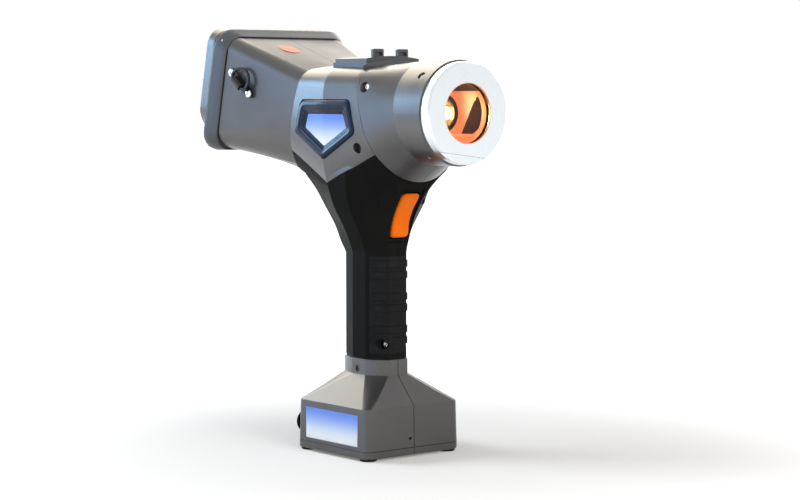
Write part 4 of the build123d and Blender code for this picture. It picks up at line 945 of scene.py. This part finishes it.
def aimed(holder, place, direction):
    """Puts a camera or lamp at a place, looking along a direction."""
    holder.location = place
    holder.rotation_mode = "QUATERNION"
    holder.rotation_quaternion = direction.to_track_quat("-Z", "Y")


def studio_camera():
    """The photograph's camera."""
    camera = bpy.data.cameras.new("camera")
    camera.sensor_fit = "HORIZONTAL"
    camera.sensor_width = sensor_width
    camera.lens = focal_length_pixels / image_width_pixels * sensor_width
    holder = linked("camera", camera)
    aimed(holder, camera_target + camera_back * camera_distance, -camera_back)
    bpy.context.scene.camera = holder


def softbox(name, place, size, radiance, colour, matt=True, gloss=True):
    """Area lamp facing the object, placed right, up and back from its middle."""
    right, up, back = place
    width, height = size
    light = bpy.data.lights.new(name, "AREA")
    light.shape = "RECTANGLE"
    light.size = width
    light.size_y = height
    light.energy = radiance * math.pi * width * height
    light.color = colour
    holder = linked(name, light)
    holder.visible_camera = False
    holder.visible_diffuse = matt
    holder.visible_glossy = gloss
    away = camera_right * right + Vector((0, 0, up)) + camera_back * back
    aimed(holder, object_middle + away, -away)


def chamber_light():
    """Small warm lamp inside the sample chamber."""
    light = bpy.data.lights.new("chamber_lamp", "POINT")
    light.energy = 0.05
    light.color = (1.0, 0.55, 0.22)
    light.shadow_soft_size = 0.002
    linked("chamber_lamp", light).location = (0.088, -0.004, nose_axis_z + 0.006)


# Lamps with their place, size, radiance and colour: keys light matt surfaces, and windows are
# seen only as reflections.

keys = {
    "left_key": ((-1.25, 0.95, -0.35), (0.7, 0.7), 13.0, (0.86, 0.94, 1.0)),
    "top_key": ((0.1, 1.5, 0.2), (0.9, 0.9), 2.6, (1.0, 0.97, 0.92)),
    "front_key": ((0.9, 0.6, 1.5), (1.1, 1.1), 5.6, (1.0, 0.98, 0.95)),
}
windows = {
    "blue_window": ((-1.22, 0.46, -0.82), (1.0, 0.6), 12.0, (0.36, 0.66, 1.0)),
    "wide_blue_window": ((-1.45, 0.37, 0.45), (1.3, 0.72), 2.3, (0.34, 0.60, 1.0)),
    "low_blue_window": ((-1.3, -0.05, 0.74), (0.6, 0.26), 6.0, (0.22, 0.50, 1.0)),
    "warm_window": ((-0.55, 1.04, -1.12), (1.0, 1.0), 5.0, (1.0, 0.89, 0.70)),
    "high_warm_window": ((0.48, 1.1, -0.75), (0.5, 0.5), 3.0, (1.0, 0.97, 0.9)),
    "low_warm_window": ((0.1, 0.74, -1.5), (1.2, 0.6), 2.2, (1.0, 0.92, 0.78)),
}

studio_floor()
studio_world()
studio_camera()
for name, settings in keys.items():
    softbox(name, *settings, gloss=False)
for name, settings in windows.items():
    softbox(name, *settings, matt=False)
chamber_light()
bpy.context.scene.view_settings.view_transform = "Standard"
